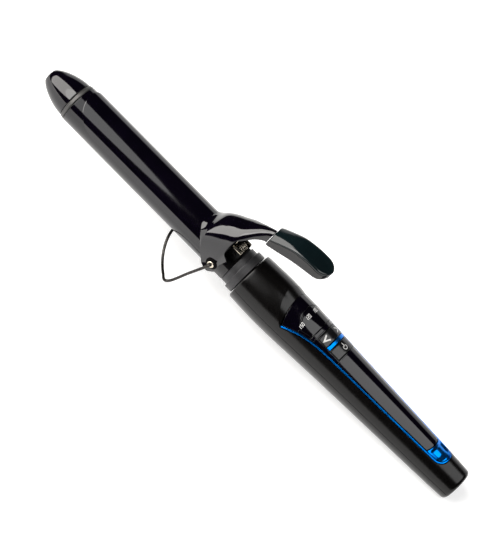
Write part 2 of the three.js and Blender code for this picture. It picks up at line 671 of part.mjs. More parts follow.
// Curved block over the panel outline: offset widens it, x0 to x1 runs along the iron,
// low and high are its faces relative to the handle's surface.
function panelBlock({ offset, x0, x1, low, high, rows = 16, columns = 10, bulge = true }) {
  const table = railTable(offset);
  const last = table[table.length - 1][0];
  const from = Math.max(x0, last + 0.02);
  const to = Math.min(x1, table[0][0]);
  const stations = steps(0, Math.PI / 2, rows).map((a) => from + (to - from) * (1 - Math.cos(a)));
  const grid = (rise) => stations.map((x) => {
    const half = smooth(table, x) / handleRadius(x);
    const swell = bulge ? PANEL_BULGE * clamp((x - 121) / (PANEL_FRONT - 121), 0, 1) ** 2 : 0;
    return steps(-1, 1, columns).map((q) => {
      const at = x + swell * (1 - q * q);
      return onRound(at, handleRadius(at) + rise, q * half);
    });
  });
  return sheetSolid(grid(high), grid(low));
}

// Curved block between two angles.
function arcBlock(x, halfAngle, low, high, columns = 10) {
  const grid = (rise) => steps(x[0], x[1], 2).map((at) =>
    steps(-1, 1, columns).map((q) => onRound(at, handleRadius(at) + rise, q * halfAngle)));
  return sheetSolid(grid(high), grid(low));
}

// Section of both shells together, turned round the axis before it is split.
function shellOutline() {
  const tailR = HANDLE_PROFILE[0][1];
  const tail = steps(0, 90, 4).map((a) => [
    TAIL_EDGE * (1 - Math.cos(a * DEG)), tailR - TAIL_EDGE * (1 - Math.sin(a * DEG)),
  ]);
  const body = [14.6, 38, 66, 97, 112, 124, 134, 144, 152, 162, 171.4].map((x) => [x, handleRadius(x)]);
  const inner = [162, 144, 112, 66, 26, 8].map((x) => [x, handleRadius(x) - WALL]);
  const neckHole = NECK_SHANK_R + GAP;
  return [
    [0, TAIL_HOLE_R], ...tail, ...body, [HANDLE_FRONT, 15.5], [HANDLE_FRONT, neckHole],
    [HANDLE_FRONT - FRONT_WALL, neckHole], [HANDLE_FRONT - FRONT_WALL, 13.2],
    ...inner, [TAIL_WALL, 8.6], [TAIL_WALL, TAIL_HOLE_R], [0, TAIL_HOLE_R],
  ];
}

function addShells() {
  const whole = turned(shellOutline(), 32);
  const upperHalf = keep(whole, box([-5, 180], [-20, 20], [SEAM, 25]));
  const lowerHalf = keep(whole, box([-5, 180], [-20, 20], [-25, -SEAM]));
  const pocket = panelBlock({
    offset: TRIM_HALF_W + GAP, x0: 0, x1: PANEL_FRONT + GAP, low: -PANEL_SINK, high: 4,
  });
  const posts = SHELL_SCREWS.map(([, x]) => {
    const reach = handleRadius(x) - WALL / 2 - 0.4;
    const height = (SEAM + reach) / 2;
    return [1, -1].map((side) => rod(x, 0, side * height, POST_R, reach - SEAM, 'z', 18));
  });
  const shanks = SHELL_SCREWS.map(([, x]) => {
    const bottom = -handleRadius(x) - 1;
    return rod(x, 0, (6.5 + bottom) / 2, 1.35, 6.5 - bottom, 'z', 14);
  });
  const heads = SHELL_SCREWS.map(([, x]) => rod(x, 0, 1 - handleRadius(x), 2.7, 7.4, 'z', 18));
  const keyHoles = [POWER_X, ROCKER_X].map(([x0, x1]) =>
    arcBlock([x0 - 0.35, x1 + 0.35], KEY_HALF_ANGLE + 2 * DEG, -WALL - 2, 3));
  const windowHole = arcBlock([WINDOW_X[0] + 1, WINDOW_X[1] - 1], 36 * DEG, -WALL - 2, 3);
  const upper = join(upperHalf, ...posts.map(([up]) => up));
  const lower = join(lowerHalf, ...posts.map(([, down]) => down));
  add('upper_shell', cut(upper, pocket, ...keyHoles, windowHole, ...shanks), softBlack);
  add('lower_shell', cut(lower, ...shanks, ...heads), softBlack);
}

function addShellScrews() {
  for (const [word, x] of SHELL_SCREWS) {
    const head = -handleRadius(x) + 2.2;
    const profile = [
      [0, head], [2.3, head], [2.3, head + 1.5], [1.05, head + 1.8], [1.05, 4.5], [0, 4.5],
    ];
    const points = profile.map(([r, z]) => new THREE.Vector2(r, z));
    const screw = new THREE.LatheGeometry(points, 16).rotateX(Math.PI / 2);
    add(`shell_screw_${word}`, screw.translate(x, 0, 0), gunmetal);
  }
}

// ---------------------------------------------------------------- control panel

function addControlPanel() {
  const offset = -(TRIM_HALF_W + GAP);
  const low = -PANEL_SINK + GAP;
  const panel = panelBlock({ offset, x0: INLAY_FRONT, x1: PANEL_FRONT, low, high: -0.05 });
  const keys = arcBlock([POWER_X[0] - 0.4, ROCKER_X[1] + 0.4], KEY_HALF_ANGLE + 2.2 * DEG, -4, 4);
  const windowOffset = -2.4;
  const windowCut = panelBlock({
    offset: windowOffset + GAP, x0: WINDOW_X[0] - GAP, x1: WINDOW_X[1] + GAP,
    low: -4, high: 4, rows: 8, bulge: false,
  });
  add('control_panel', cut(panel, keys, windowCut), glossBlack);
  add('display_window', panelBlock({
    offset: windowOffset, x0: WINDOW_X[0], x1: WINDOW_X[1], low, high: -0.05, rows: 6, bulge: false,
  }), smoked);
  add('tail_inlay', panelBlock({
    offset, x0: 0, x1: INLAY_FRONT - GAP, low, high: -0.25, rows: 10, columns: 8, bulge: false,
  }), blueMetal);
}

// U-shaped rail let into the seam round the panel.
function addTrimRail() {
  const near = RAIL_POINTS.filter((p) => p.x < PANEL_FRONT).map((p) => [p.x, p.y]);
  const far = near.slice(0, -1).reverse().map(([x, w]) => [x, -w]);
  const path = [...near, ...far]
    .filter((_, i, all) => i % 4 === 0 || i === all.length - 1)
    .map(([x, w]) => onRound(x, handleRadius(x), w / handleRadius(x)));
  const section = [
    [-TRIM_HALF_W, -1.15], [TRIM_HALF_W, -1.15], [TRIM_HALF_W, 0.02], [0.35, 0.12], [-0.35, 0.12],
    [-TRIM_HALF_W, 0.02],
  ];
  const loops = path.map((point, i) => {
    const [before, next] = [path[Math.max(i - 1, 0)], path[Math.min(i + 1, path.length - 1)]];
    const way = new THREE.Vector3().subVectors(next, before).normalize();
    const out = new THREE.Vector3(0, point.y, point.z).normalize();
    const side = new THREE.Vector3().crossVectors(way, out).normalize();
    return section.map(([a, b]) => point.clone().addScaledVector(side, a).addScaledVector(out, b));
  });
  add('trim_rail', loftSolid(loops), blueMetal);
}

function addKeys() {
  const below = box([90, 130], [-20, 20], [0, KEY_FLOOR_Z]);
  const key = (x) => cut(arcBlock(x, KEY_HALF_ANGLE, -8, KEY_PROUD), below);
  add('temperature_rocker', key(ROCKER_X), keyGrey);
  add('power_key', key(POWER_X), keyGrey);
  const bar = arcBlock(BAR_X, KEY_HALF_ANGLE + 0.3 * DEG, -PANEL_SINK + GAP, KEY_PROUD - 0.1);
  add('indicator_bar', bar, blueMetal);
}

function addElectronics() {
  add('circuit_board', box(BOARD_X, [-6.5, 6.5], [BOARD_Z, BOARD_Z + BOARD_T]), boardGreen);
  const top = BOARD_Z + BOARD_T + 0.1;
  const switches = [
    ['up', middle(ROCKER_X), -4.2], ['down', middle(ROCKER_X), 4.2], ['power', middle(POWER_X), 0],
  ];
  for (const [word, x, y] of switches) {
    const body = box([x - 1.9, x + 1.9], [y - 1.9, y + 1.9], [top, top + 1.1]);
    add(`tact_switch_${word}`, body, darkPart);
  }
  add('display_module', box(DISPLAY_X, [-6, 6], [top, top + 2.6]), darkPart);
  add('terminal_block', box(TERMINAL_X, [-5, 5], [-5, 2.5]), darkPart);
}

// ---------------------------------------------------------------- tail

// Turning sleeve that the mains lead enters through, held by a ring inside the shells.
function addSwivel() {
  const back = 0.9;
  const flangeBack = TAIL_WALL + GAP;
  const sleeve = [
    [back, SWIVEL_BORE_R], [back, SWIVEL_R - 0.3], [back + 0.4, SWIVEL_R], [flangeBack, SWIVEL_R],
    [flangeBack, SWIVEL_FLANGE_R], [SWIVEL_FLANGE_FRONT, SWIVEL_FLANGE_R],
    [SWIVEL_FLANGE_FRONT, SWIVEL_R], [SWIVEL_FRONT, SWIVEL_R], [SWIVEL_FRONT, SWIVEL_BORE_R],
    [back, SWIVEL_BORE_R],
  ];
  add('swivel_sleeve', turned(sleeve), satinBlack);
  const retainerBack = SWIVEL_FLANGE_FRONT + 0.4;
  const retainer = tubeOutline(retainerBack, retainerBack + 2, 8.2, TAIL_HOLE_R);
  add('swivel_retainer', turned(retainer), darkPart);
}

addBarrel();
addTipRing();
addTipCap();
addHeater();
addLeads();
addNeck();
addCollar();
addSpringBracket();
addClampSpring();
addClampPlate();
addClampLever();
addThumbBase();
addThumbPad();
addThumbScrew();
addPivots();
addStand();
addShells();
addShellScrews();
addControlPanel();
addTrimRail();
addKeys();
addElectronics();
addSwivel();

// ---------------------------------------------------------------- resting pose

// Lay the iron on its two stand feet and the lower edge of its tail.
const footLow = [PIVOT_X + FOOT.x, PIVOT_Z + FOOT.z - WIRE_R];
const tailLow = [4, -handleRadius(4)];
const tilt = Math.atan2(tailLow[1] - footLow[1], footLow[0] - tailLow[0]);
iron.rotation.y = -tilt;
iron.updateMatrixWorld(true);
const extent = new THREE.Box3().setFromObject(iron, true);
const centre = extent.getCenter(new THREE.Vector3());
iron.position.set(-centre.x, -centre.y, -extent.min.z);

const group = new THREE.Group();
group.add(iron);
group.updateMatrixWorld(true);

export default group;
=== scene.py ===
import json
from math import acos, asin, atan2, cos, pi, sin, sqrt

import bmesh
import bpy
from mathutils import Matrix, Vector


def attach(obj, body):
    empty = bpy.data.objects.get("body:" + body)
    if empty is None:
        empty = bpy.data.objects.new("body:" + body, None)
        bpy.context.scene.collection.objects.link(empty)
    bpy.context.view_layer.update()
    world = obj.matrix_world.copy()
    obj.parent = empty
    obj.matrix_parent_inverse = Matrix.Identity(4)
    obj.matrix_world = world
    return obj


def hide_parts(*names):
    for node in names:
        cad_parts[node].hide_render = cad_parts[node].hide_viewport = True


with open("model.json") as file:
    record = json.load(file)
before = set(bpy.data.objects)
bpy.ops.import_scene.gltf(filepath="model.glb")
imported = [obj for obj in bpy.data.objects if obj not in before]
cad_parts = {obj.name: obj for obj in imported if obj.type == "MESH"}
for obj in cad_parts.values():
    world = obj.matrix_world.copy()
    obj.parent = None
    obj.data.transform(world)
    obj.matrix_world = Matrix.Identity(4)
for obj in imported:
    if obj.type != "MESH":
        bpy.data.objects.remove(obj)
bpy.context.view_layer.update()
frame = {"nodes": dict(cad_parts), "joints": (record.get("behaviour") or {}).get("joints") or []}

# --- the iron's own frame
MM = 0.001
DEG = pi / 180
PIVOT_X = 192
PIVOT_Z = 1

JOINTS = {joint["name"]: joint for joint in frame["joints"]}
LONG = Vector(JOINTS["swivel_turn"]["axis"]).normalized()
UP = -Vector(JOINTS["power_press"]["axis"]).normalized()
SIDE = UP.cross(LONG)
PIVOT = Vector(JOINTS["clamp_hinge"]["pos_m"])

TURN = Matrix((LONG, SIDE, UP)).transposed().to_4x4()
TAIL = PIVOT - (LONG * PIVOT_X + UP * PIVOT_Z) * MM
TO_ROW = Matrix.Translation(TAIL) @ TURN @ Matrix.Scale(MM, 4)

# --- driving dimensions
TIP_X = 337.8
TIP_BASE_R = 12.05
TIP_FLAT_R = 4
BARREL_R = 12.8
BARREL_BORE_R = 11.8
BARREL_BACK = 199
BARREL_FRONT = 313.9
RING_BACK = 314.2
RING_FRONT = 316.8
RING_BORE_R = 8.9
SPIGOT_R = 11.5
NECK_BACK = 166.4
PLATFORM_BACK = 182.2
PLATFORM_FRONT = 190.6
PLATFORM_Z = 4.1
COLLAR = (172.9, 177.8, 181.9)
COLLAR_R = (14.1, 12.7)
NECK_SHANK_R = 8.4
WIRE_CHANNEL_R = 4.2
WIRE_CHANNEL_Z = -3.6

PLATE_R = (13.1, 13.8)
PLATE_HALF_ANGLE = 82 * DEG
PLATE_BACK = 200
PLATE_FRONT = 311
PLATE_NOSE = 20

LEVER_T = 0.85
EAR_OUT = 14.95
LOBE_R = 7.6
ARM_END = 177.8

WIRE_R = 0.9
EYELET_BORE_R = 1.05
KNEE = Vector((0.35, 17.8, -0.85))
APEX = Vector((31.5, 0, -15.2))
FOOT = Vector((12.3, 22.8, -31.3))

HANDLE_FRONT = 172.3
WALL = 2.2
TAIL_EDGE = 2.6
SEAM = 0.15
TRIM_HALF_W = 0.65
GAP = 0.3
PIVOT_BORE_R = 1.95
SCREW_HOLE_R = 2.7
SAME_POINT = 1e-4
ROUND_END = 171.4
PANEL_SINK = 1.5
PANEL_FRONT = 137.9
PANEL_BULGE = 4.8
INLAY_FRONT = 26.5
KEY_HALF_ANGLE = 33 * DEG
POWER_X = (100.6, 107.7)
BAR_X = (108.1, 110.3)
ROCKER_X = (110.7, 117.6)
WINDOW_X = (120.9, 136.6)
KEY_PROUD = 0.35
SPRING_X = 186.6
SPRING_Z = 10.5
COIL_R = 3.1
COIL_TURNS = 4
BRACKET_X = (183.2, 190.2)
BRACKET_HALF_W = 5.9
BRACKET_SHEET = 0.7
BRACKET_BASE = PLATFORM_Z + GAP
BRACKET_TOP = 13.6
SCREW_X = (40, 150)
THUMB_SCREW_X = 164
SIDES = ((1, "left"), (-1, "right"))

# Outer radius of the handle along its length.
HANDLE_PROFILE = [
    (TAIL_EDGE, 10.95), (14.6, 11.6), (49.7, 12.9), (96.5, 14.6), (120, 15.65), (136, 16.45),
    (152, 16.85), (164, 16.55), (ROUND_END, 16.2)]
# Half width of the blue rail along the surface.
RAIL_OUTLINE = [
    (141.5, 21.7), (137.9, 20.1), (132.3, 17.5), (125.9, 14.9), (116.7, 12.9), (100.6, 11.4),
    (72.8, 10.1), (38.6, 8.5), (25.5, 7.8), (19.5, 7.2), (16.6, 5.2), (15.5, 2.6), (15.3, 0)]
# Clamp lever arches: position, height of the top, half width, squareness.
LEVER_ARCHES = [
    (214, 14.95, 14.95, 2), (209.9, 15.1, 14.95, 2), (205.7, 20.4, 14.95, 2.2),
    (200.8, 24.4, 14.95, 2.5), (196.1, 28.1, 14.95, 2.5), (191.3, 32.1, 14.95, 2.5),
    (189, 34.2, 13.3, 2.5), (186.6, 36.4, 11.4, 2.5), (184.3, 38.4, 9.5, 2.5), (181.9, 40, 8, 2.5),
    (179.6, 41.5, 6.6, 2.5), (176, 42.8, 6, 2.5)]
# Side outline of the lever, height and position: front edge, rear edge of the ear.
LEVER_FRONT = [
    (-6.6, 192), (-5.9, 195.2), (-4.4, 197.4), (-1.6, 199.4), (1.5, 202.1), (5.2, 204.7),
    (9.2, 208.8), (12.2, 212.3), (13.6, 212.2), (14.95, 211.4)]
LEVER_REAR = [
    (-6.6, 192), (-5.9, 188.8), (-4.4, 186.7), (-1.6, 184.9), (0.6, 184.4), (3.2, 184.9),
    (8, 187.3), (12.6, 190.2), (17, 191), (21, 191), (24.2, 190.7)]
# Underside of the arm: position and height.
ARM_EDGE = [(190.7, 24.2), (187.8, 27), (184.3, 30.8), (181.9, 32.8), (179.6, 34), (176.5, 35)]
# Thumb rest: underside and seam between base and pad.
THUMB_UNDERSIDE = [
    (138.4, 46.4), (142, 44.2), (147, 43.1), (153.4, 41.8), (160.7, 40), (170.4, 36.8),
    (177.5, 34.6)]
THUMB_SEAM = [
    (138.4, 48.9), (142.6, 49.3), (151.7, 49.3), (160.7, 48), (164.7, 46.8), (170.4, 44),
    (177.5, 40)]
THUMB_BACK = 138.6
THUMB_FRONT = 177.4
THUMB_HALF_W = 7.5
THUMB_NOSE = 8


# --- curves and grids
def smooth(table, x, column=1):
    """Smooth value at x through rows sorted by their first column, either way round."""
    rows = table if table[0][0] < table[-1][0] else table[::-1]
    last = len(rows) - 1
    i = 0
    while i < last - 1 and x > rows[i + 1][0]:
        i += 1

    def slope(k):
        a, b = rows[max(k - 1, 0)], rows[min(k + 1, last)]
        return (b[column] - a[column]) / (b[0] - a[0])

    span = rows[i + 1][0] - rows[i][0]
    t = min(max((x - rows[i][0]) / span, 0), 1)
    return (rows[i][column] * (2 * t**3 - 3 * t**2 + 1) + slope(i) * span * (t**3 - 2 * t**2 + t)
            + rows[i + 1][column] * (3 * t**2 - 2 * t**3) + slope(i + 1) * span * (t**3 - t**2))


def steps(start, end, count):
    return [start + (end - start) * i / count for i in range(count + 1)]


def mix(a, b, t):
    return a + (b - a) * t


def clamp(value, low=0.0, high=1.0):
    return min(max(value, low), high)


def handle_radius(x):
    return smooth(HANDLE_PROFILE, clamp(x, TAIL_EDGE, ROUND_END))


def on_round(x, radius, angle):
    """Point round the iron's axis; angle 0 is the clamp side, positive towards +Y."""
    return Vector((x, radius * sin(angle), radius * cos(angle)))


def on_handle(x, angle, rise=0.0):
    return on_round(x, handle_radius(x) + rise, angle)


def mirrored(points):
    """The same points on the other side, in reverse order."""
    return [Vector((p.x, -p.y, p.z)) for p in reversed(points)]


def rounded(points, radius, closed=False, cuts=4):
    """Outline with each corner replaced by a short curve."""
    points = [Vector(p) for p in points]
    count = len(points)
    out = []
    for i, p in enumerate(points):
        if not closed and i in (0, count - 1):
            out.append(p)
            continue
        a, b = points[i - 1] - p, points[(i + 1) % count] - p
        reach = min(radius, 0.45 * a.length, 0.45 * b.length)
        start, end = p + a.normalized() * reach, p + b.normalized() * reach
        for t in steps(0, 1, cuts):
            out.append(start * (1 - t) ** 2 + p * 2 * t * (1 - t) + end * t**2)
    return out


def turned(outline, segments=128, closed=False):
    """Surface turned round the X axis from (x, radius) points; a radius of 0 makes a single point."""
    verts, faces, rings = [], [], []
    for x, radius in outline:
        count = segments if radius > 1e-6 else 1
        rings.append([len(verts) + k % count for k in range(segments + 1)])
        verts += [on_round(x, radius, 2 * pi * k / segments) for k in range(count)]
    for p, q in zip(rings, rings[1:] + rings[:1] if closed else rings[1:]):
        for k in range(segments):
            corners = tuple(dict.fromkeys((p[k], p[k + 1], q[k + 1], q[k])))
            if len(corners) > 2:
                faces.append(corners)
    return verts, faces


def ring(section, radius, segments=128, cuts=4):
    """Closed shape turned from a section with rounded corners."""
    return turned(rounded(section, radius, closed=True, cuts=cuts), segments, closed=True)


def grid(rows):
    """Open sheet through rows of points; None leaves a hole."""
    verts, index, faces = [], {}, []
    for i, row in enumerate(rows):
        for j, point in enumerate(row):
            if point is not None:
                index[i, j] = len(verts)
                verts.append(point)
    for i in range(len(rows) - 1):
        for j in range(len(rows[0]) - 1):
            corners = [(i, j), (i + 1, j), (i + 1, j + 1), (i, j + 1)]
            if all(c in index for c in corners):
                faces.append(tuple(index[c] for c in corners))
    return verts, faces


def block(outer, inner):
    """Closed solid between two sheets of points of the same size."""
    verts, faces = grid(outer)
    count = len(verts)
    verts = verts + grid(inner)[0]
    rows, columns = len(outer), len(outer[0])
    faces += [tuple(reversed([v + count for v in f])) for f in faces]
    edge = [(0, j) for j in range(columns)] + [(i, columns - 1) for i in range(1, rows)]
    edge += [(rows - 1, j) for j in range(columns - 2, -1, -1)] + [(i, 0) for i in range(rows - 2, 0, -1)]
    ring = [i * columns + j for i, j in edge]
    faces += [(a, b, b + count, a + count) for a, b in zip(ring, ring[1:] + ring[:1])]
    return verts, faces


def loft(loops):
    """Closed solid through loops of points with flat ends."""
    n = len(loops[0])
    verts = [p for loop in loops for p in loop]
    faces = []
    for k in range(len(loops) - 1):
        for j in range(n):
            nxt = (j + 1) % n
            faces.append((k * n + j, k * n + nxt, (k + 1) * n + nxt, (k + 1) * n + j))
    faces.append(tuple(range(n)))
    faces.append(tuple((len(loops) - 1) * n + j for j in reversed(range(n))))
    return verts, faces


def blend(a, b, start, end, t):
    return a * ((end - t) / (end - start)) + b * ((t - start) / (end - start))


def curve_points(points, per_span):
    """Smooth centripetal curve through points."""
    pts = [Vector(p) for p in points]
    pts = [2 * pts[0] - pts[1]] + pts + [2 * pts[-1] - pts[-2]]
    out = []
    for p0, p1, p2, p3 in zip(pts, pts[1:], pts[2:], pts[3:]):
        t1 = sqrt((p1 - p0).length)
        t2 = t1 + sqrt((p2 - p1).length)
        t3 = t2 + sqrt((p3 - p2).length)
        for s in range(per_span):
            t = mix(t1, t2, s / per_span)
            middle = blend(p1, p2, t1, t2, t)
            b1 = blend(blend(p0, p1, 0, t1, t), middle, 0, t2, t)
            b2 = blend(middle, blend(p2, p3, t2, t3, t), t1, t3, t)
            out.append(blend(b1, b2, t1, t2, t))
    return out + [pts[-2]]


def heading(path, i):
    """Unit direction of a path at its point i."""
    return (path[min(i + 1, len(path) - 1)] - path[max(i - 1, 0)]).normalized()


def sweep(path, section, start_side):
    """Closed solid along a path; section is a list of (side, out) offsets."""
    side = Vector(start_side)
    loops = []
    for i, point in enumerate(path):
        way = heading(path, i)
        side = (side - way * side.dot(way)).normalized()
        out = way.cross(side)
        loops.append([point + side * a + out * b for a, b in section])
    return loft(loops)


def circle(radius, sides):
    return [(radius * cos(2 * pi * k / sides), radius * sin(2 * pi * k / sides))
            for k in range(sides)]


def wire(path, radius, sides=16):
    """Round wire with flat ends."""
    return sweep(path, circle(radius, sides), (0.3, 1, 0.2))


def joined(shapes):
    """One shape from several."""
    verts, faces = [], []
    for made, cells in shapes:
        faces += [tuple(v + len(verts) for v in cell) for cell in cells]
        verts += made
    return verts, faces


def crosswise(shape, x, z, side=1):
    """Turned shape laid across the iron through (x, z), towards +Y or -Y."""
    verts, faces = shape
    return [Vector((x + v[1], side * v[0], z + v[2])) for v in verts], faces


# --- pieces
def linked(name, data):
    thing = bpy.data.objects.new(name, data)
    bpy.context.scene.collection.objects.link(thing)
    return thing


def make_object(name, shape, sheet=False):
    """Object from (verts, faces); a sheet is open and faces away from the iron's axis."""
    verts, faces = shape
    bm = bmesh.new()
    made = [bm.verts.new(v) for v in verts]
    for face in faces:
        bm.faces.new([made[i] for i in face])
    bmesh.ops.remove_doubles(bm, verts=bm.verts, dist=SAME_POINT)
    bmesh.ops.dissolve_degenerate(bm, edges=bm.edges, dist=SAME_POINT)
    bmesh.ops.recalc_face_normals(bm, faces=bm.faces)
    if sheet:
        facing = (f.normal.dot(Vector((0, *f.calc_center_median()[1:]))) * f.calc_area() for f in bm.faces)
        if sum(facing) < 0:
            bmesh.ops.reverse_faces(bm, faces=bm.faces)
    mesh = bpy.data.meshes.new(name)
    bm.to_mesh(mesh)
    bm.free()
    return linked(name, mesh)


def apply_modifiers(thing):
    bpy.context.view_layer.update()
    done = bpy.data.meshes.new_from_object(thing.evaluated_get(bpy.context.evaluated_depsgraph_get()))
    thing.modifiers.clear()
    thing.data = done


def cut(thing, tools):
    """Cut each tool from a piece; the tools are used up."""
    for tool in tools:
        step = thing.modifiers.new("cut", "BOOLEAN")
        step.operation = "DIFFERENCE"
        step.solver = "EXACT"
        step.object = tool
        apply_modifiers(thing)
        bpy.data.objects.remove(tool)


def thicken(thing, thickness):
    """Give an open sheet a wall on its inner side."""
    wall = thing.modifiers.new("wall", "SOLIDIFY")
    wall.thickness = thickness
    wall.offset = -1
    wall.use_even_offset = True
    apply_modifiers(thing)


def finish_piece(thing, slot, material, body="handle", replaced=(), edge=0.0, angle=35, segments=3):
    """Put a piece in the row frame, soften its edges, and give it its body and material; its slot is not
    used.
    """
    thing.data.transform(TO_ROW)
    mesh = thing.data
    if edge:
        bevel = thing.modifiers.new("edge", "BEVEL")
        bevel.width = edge * MM
        bevel.segments = segments
        bevel.limit_method = "ANGLE"
        bevel.angle_limit = angle * DEG
        bevel.miter_outer = "MITER_ARC"
    for polygon in mesh.polygons:
        polygon.use_smooth = True
        polygon.material_index = 0
    if not edge:
        mesh.set_sharp_from_angle(angle=angle * DEG)
    thing.modifiers.new("shade", "WEIGHTED_NORMAL").keep_sharp = True
    mesh.materials.clear()
    mesh.materials.append(material)
    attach(thing, body)
    if replaced:
        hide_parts(*replaced)


def dress(node, shape, slot, material, body="handle", wall=0, cuts=(), **soft):
    """Piece in place of a CAD node; a wall makes an open sheet solid, and cuts are taken from it."""
    thing = make_object(f"{node}_look", shape, sheet=wall > 0)
    if wall:
        thicken(thing, wall)
    cut(thing, cuts)
    finish_piece(thing, slot, material, body, [node], **soft)


# --- materials
def shader_input(material, socket):
    return material.node_tree.nodes["Principled BSDF"].inputs[socket]


def new_material(name, color, roughness, metallic=0.0, specular=0.5, coat=0.0):
    material = bpy.data.materials.new(name)
    material.use_nodes = True
    values = {"Base Color": (*color, 1), "Roughness": roughness, "Metallic": metallic, "IOR": 1.5,
              "Specular IOR Level": specular, "Coat Weight": coat, "Coat Roughness": 0.03}
    for socket, value in values.items():
        shader_input(material, socket).default_value = value
    return material


def node_with(tree, kind, values):
    """New node with some inputs set."""
    made = tree.nodes.new(kind)
    for socket, value in values.items():
        made.inputs[socket].default_value = value
    return made


def noise_of(material, scale, detail, stretch=(1, 1, 1)):
    """Noise in object space, in cycles per metre; stretch scales it along the iron's axes."""
    tree = material.node_tree
    place = tree.nodes.new("ShaderNodeTexCoord")
    slope = (0, atan2(LONG.z, LONG.x), 0)
    turn = node_with(tree, "ShaderNodeMapping", {"Rotation": slope, "Scale": stretch})
    noise = node_with(tree, "ShaderNodeTexNoise", {"Scale": scale, "Detail": detail})
    tree.links.new(place.outputs["Object"], turn.inputs["Vector"])
    tree.links.new(turn.outputs["Vector"], noise.inputs["Vector"])
    return noise.outputs["Fac"]


def ranged(tree, source, span, low, high, kind="LINEAR"):
    """Socket with the source's value moved from a span to low and high."""
    values = dict(zip(("From Min", "From Max", "To Min", "To Max"), (*span, low, high)))
    remap = node_with(tree, "ShaderNodeMapRange", values)
    remap.interpolation_type = kind
    tree.links.new(source, remap.inputs["Value"])
    return remap.outputs["Result"]


def vary(material, noise, low, high):
    """Let a noise move the roughness between low and high."""
    tree = material.node_tree
    tree.links.new(ranged(tree, noise_of(material, *noise), (0.3, 0.7), low, high),
                   shader_input(material, "Roughness"))


def tint(material, noise, dark, light):
    """Let a noise move the base colour between two tones."""
    tree = material.node_tree
    ramp = tree.nodes.new("ShaderNodeValToRGB")
    for stop, position, color in zip(ramp.color_ramp.elements, (0.35, 0.65), (dark, light)):
        stop.position = position
        stop.color = (*color, 1)
    tree.links.new(noise_of(material, *noise), ramp.inputs["Fac"])
    tree.links.new(ramp.outputs["Color"], shader_input(material, "Base Color"))


def roughen(material, noise, height, strength):
    """Let a noise raise the surface by a height in metres."""
    tree = material.node_tree
    bump = node_with(tree, "ShaderNodeBump", {"Distance": height, "Strength": strength})
    tree.links.new(noise_of(material, *noise), bump.inputs["Height"])
    tree.links.new(bump.outputs["Normal"], shader_input(material, "Normal"))


def gloss_black(name, color=(0.0008, 0.0004, 0.0018), specular=0.5, coat=0.0, low=0.05, high=0.09):
    material = new_material(name, color, 0.07, specular=specular, coat=coat)
    vary(material, (260, 4, (0.25, 1, 1)), low, high)
    tint(material, (60, 2), color, [c * 1.6 for c in color])
    roughen(material, (900, 2), 0.00001, 0.06)
    return material


def soft_black():
    material = new_material("soft_touch_black", (0.0016, 0.0013, 0.0013), 0.2, specular=0.33)
    vary(material, (900, 4), 0.19, 0.235)
    tint(material, (140, 3), (0.0014, 0.0012, 0.0012), (0.002, 0.0017, 0.0016))
    roughen(material, (5200, 3), 0.000008, 0.08)
    return material


def satin_metal(name, dark, light, rough=(0.25, 0.4), metallic=1.0, lay=(0.1, 1, 1), grain=2600):
    material = new_material(name, light, sum(rough) / 2, metallic)
    vary(material, (grain, 4, lay), *rough)
    tint(material, (grain / 4, 3, lay), dark, light)
    roughen(material, (grain * 1.5, 3, lay), 0.00001, 0.15)
    return material


def moulded(name, dark, light, rough, grain=1800, specular=0.5):
    material = new_material(name, light, rough, specular=specular)
    vary(material, (grain / 3, 4), rough * 0.85, min(rough * 1.15, 1))
    tint(material, (grain / 20, 3), dark, light)
    roughen(material, (grain, 3), 0.00002, 0.2)
    return material


def blue_anodised():
    material = new_material("blue_anodised", (0.0, 0.19, 0.7), 0.2, 0.97, specular=0.1)
    vary(material, (3000, 3, (0.08, 1, 1)), 0.17, 0.24)
    tint(material, (400, 3, (0.2, 1, 1)), (0.0, 0.17, 0.64), (0.0, 0.21, 0.76))
    roughen(material, (5000, 3, (0.1, 1, 1)), 0.000003, 0.04)
    return material


BLACK = gloss_black("barrel_gloss_black", specular=0.54)
LEVER_BLACK = gloss_black("clamp_gloss_black", specular=0.62, coat=0.1)
TIP_BLACK = gloss_black("tip_gloss_black", specular=0.58)
PANEL_BLACK = gloss_black("panel_gloss_black")
SMOKED = gloss_black("smoked_lens", (0.0008, 0.0005, 0.0015), low=0.03, high=0.06)
NECK_BLACK = moulded("neck_black", (0.0012, 0.001, 0.0014), (0.0024, 0.0021, 0.0027), 0.36)
# Near-black for the spring bracket and its pin: painted shade, darker than the bracket's nickel rims on
# top.
BRACKET_SHADE_BLACK = moulded("bracket_shade_black", (0.0006, 0.0005, 0.0007), (0.0013, 0.001, 0.0012), 0.5,
                      specular=0.12)
WASHER_BLACK = moulded("washer_matt_black", (0.0004, 0.0004, 0.0005), (0.0009, 0.0009, 0.001), 0.6,
                       specular=0.05)
COLLAR_BLACK = satin_metal("collar_satin_black", (0.022, 0.022, 0.024), (0.032, 0.031, 0.033),
                           (0.34, 0.46), 0.35, (4, 0.2, 0.2), 1800)
RING_METAL = satin_metal("tip_ring_satin", (0.05, 0.049, 0.048), (0.08, 0.078, 0.076),
                         (0.35, 0.5), 0.7, (4, 0.2, 0.2), 1800)
SOFT = soft_black()
PAD = moulded("thumb_pad_teal_black", (0.0018, 0.0045, 0.0055), (0.0028, 0.0068, 0.008), 0.15, 900)
THUMB_GREY = moulded("thumb_base_black", (0.0022, 0.0022, 0.0025), (0.004, 0.004, 0.0045), 0.2, 900)
BLUE = blue_anodised()
GUNMETAL = satin_metal("stand_wire_gunmetal", (0.03, 0.028, 0.027), (0.06, 0.056, 0.053), (0.22, 0.34),
                       1.0, (0.15, 1, 1), 3200)
NICKEL = satin_metal("nickel_plate", (0.5, 0.45, 0.36), (0.68, 0.62, 0.52), (0.14, 0.26), 1.0)
ALUMINIUM = satin_metal("heater_aluminium", (0.55, 0.56, 0.58), (0.72, 0.73, 0.75), (0.3, 0.45))
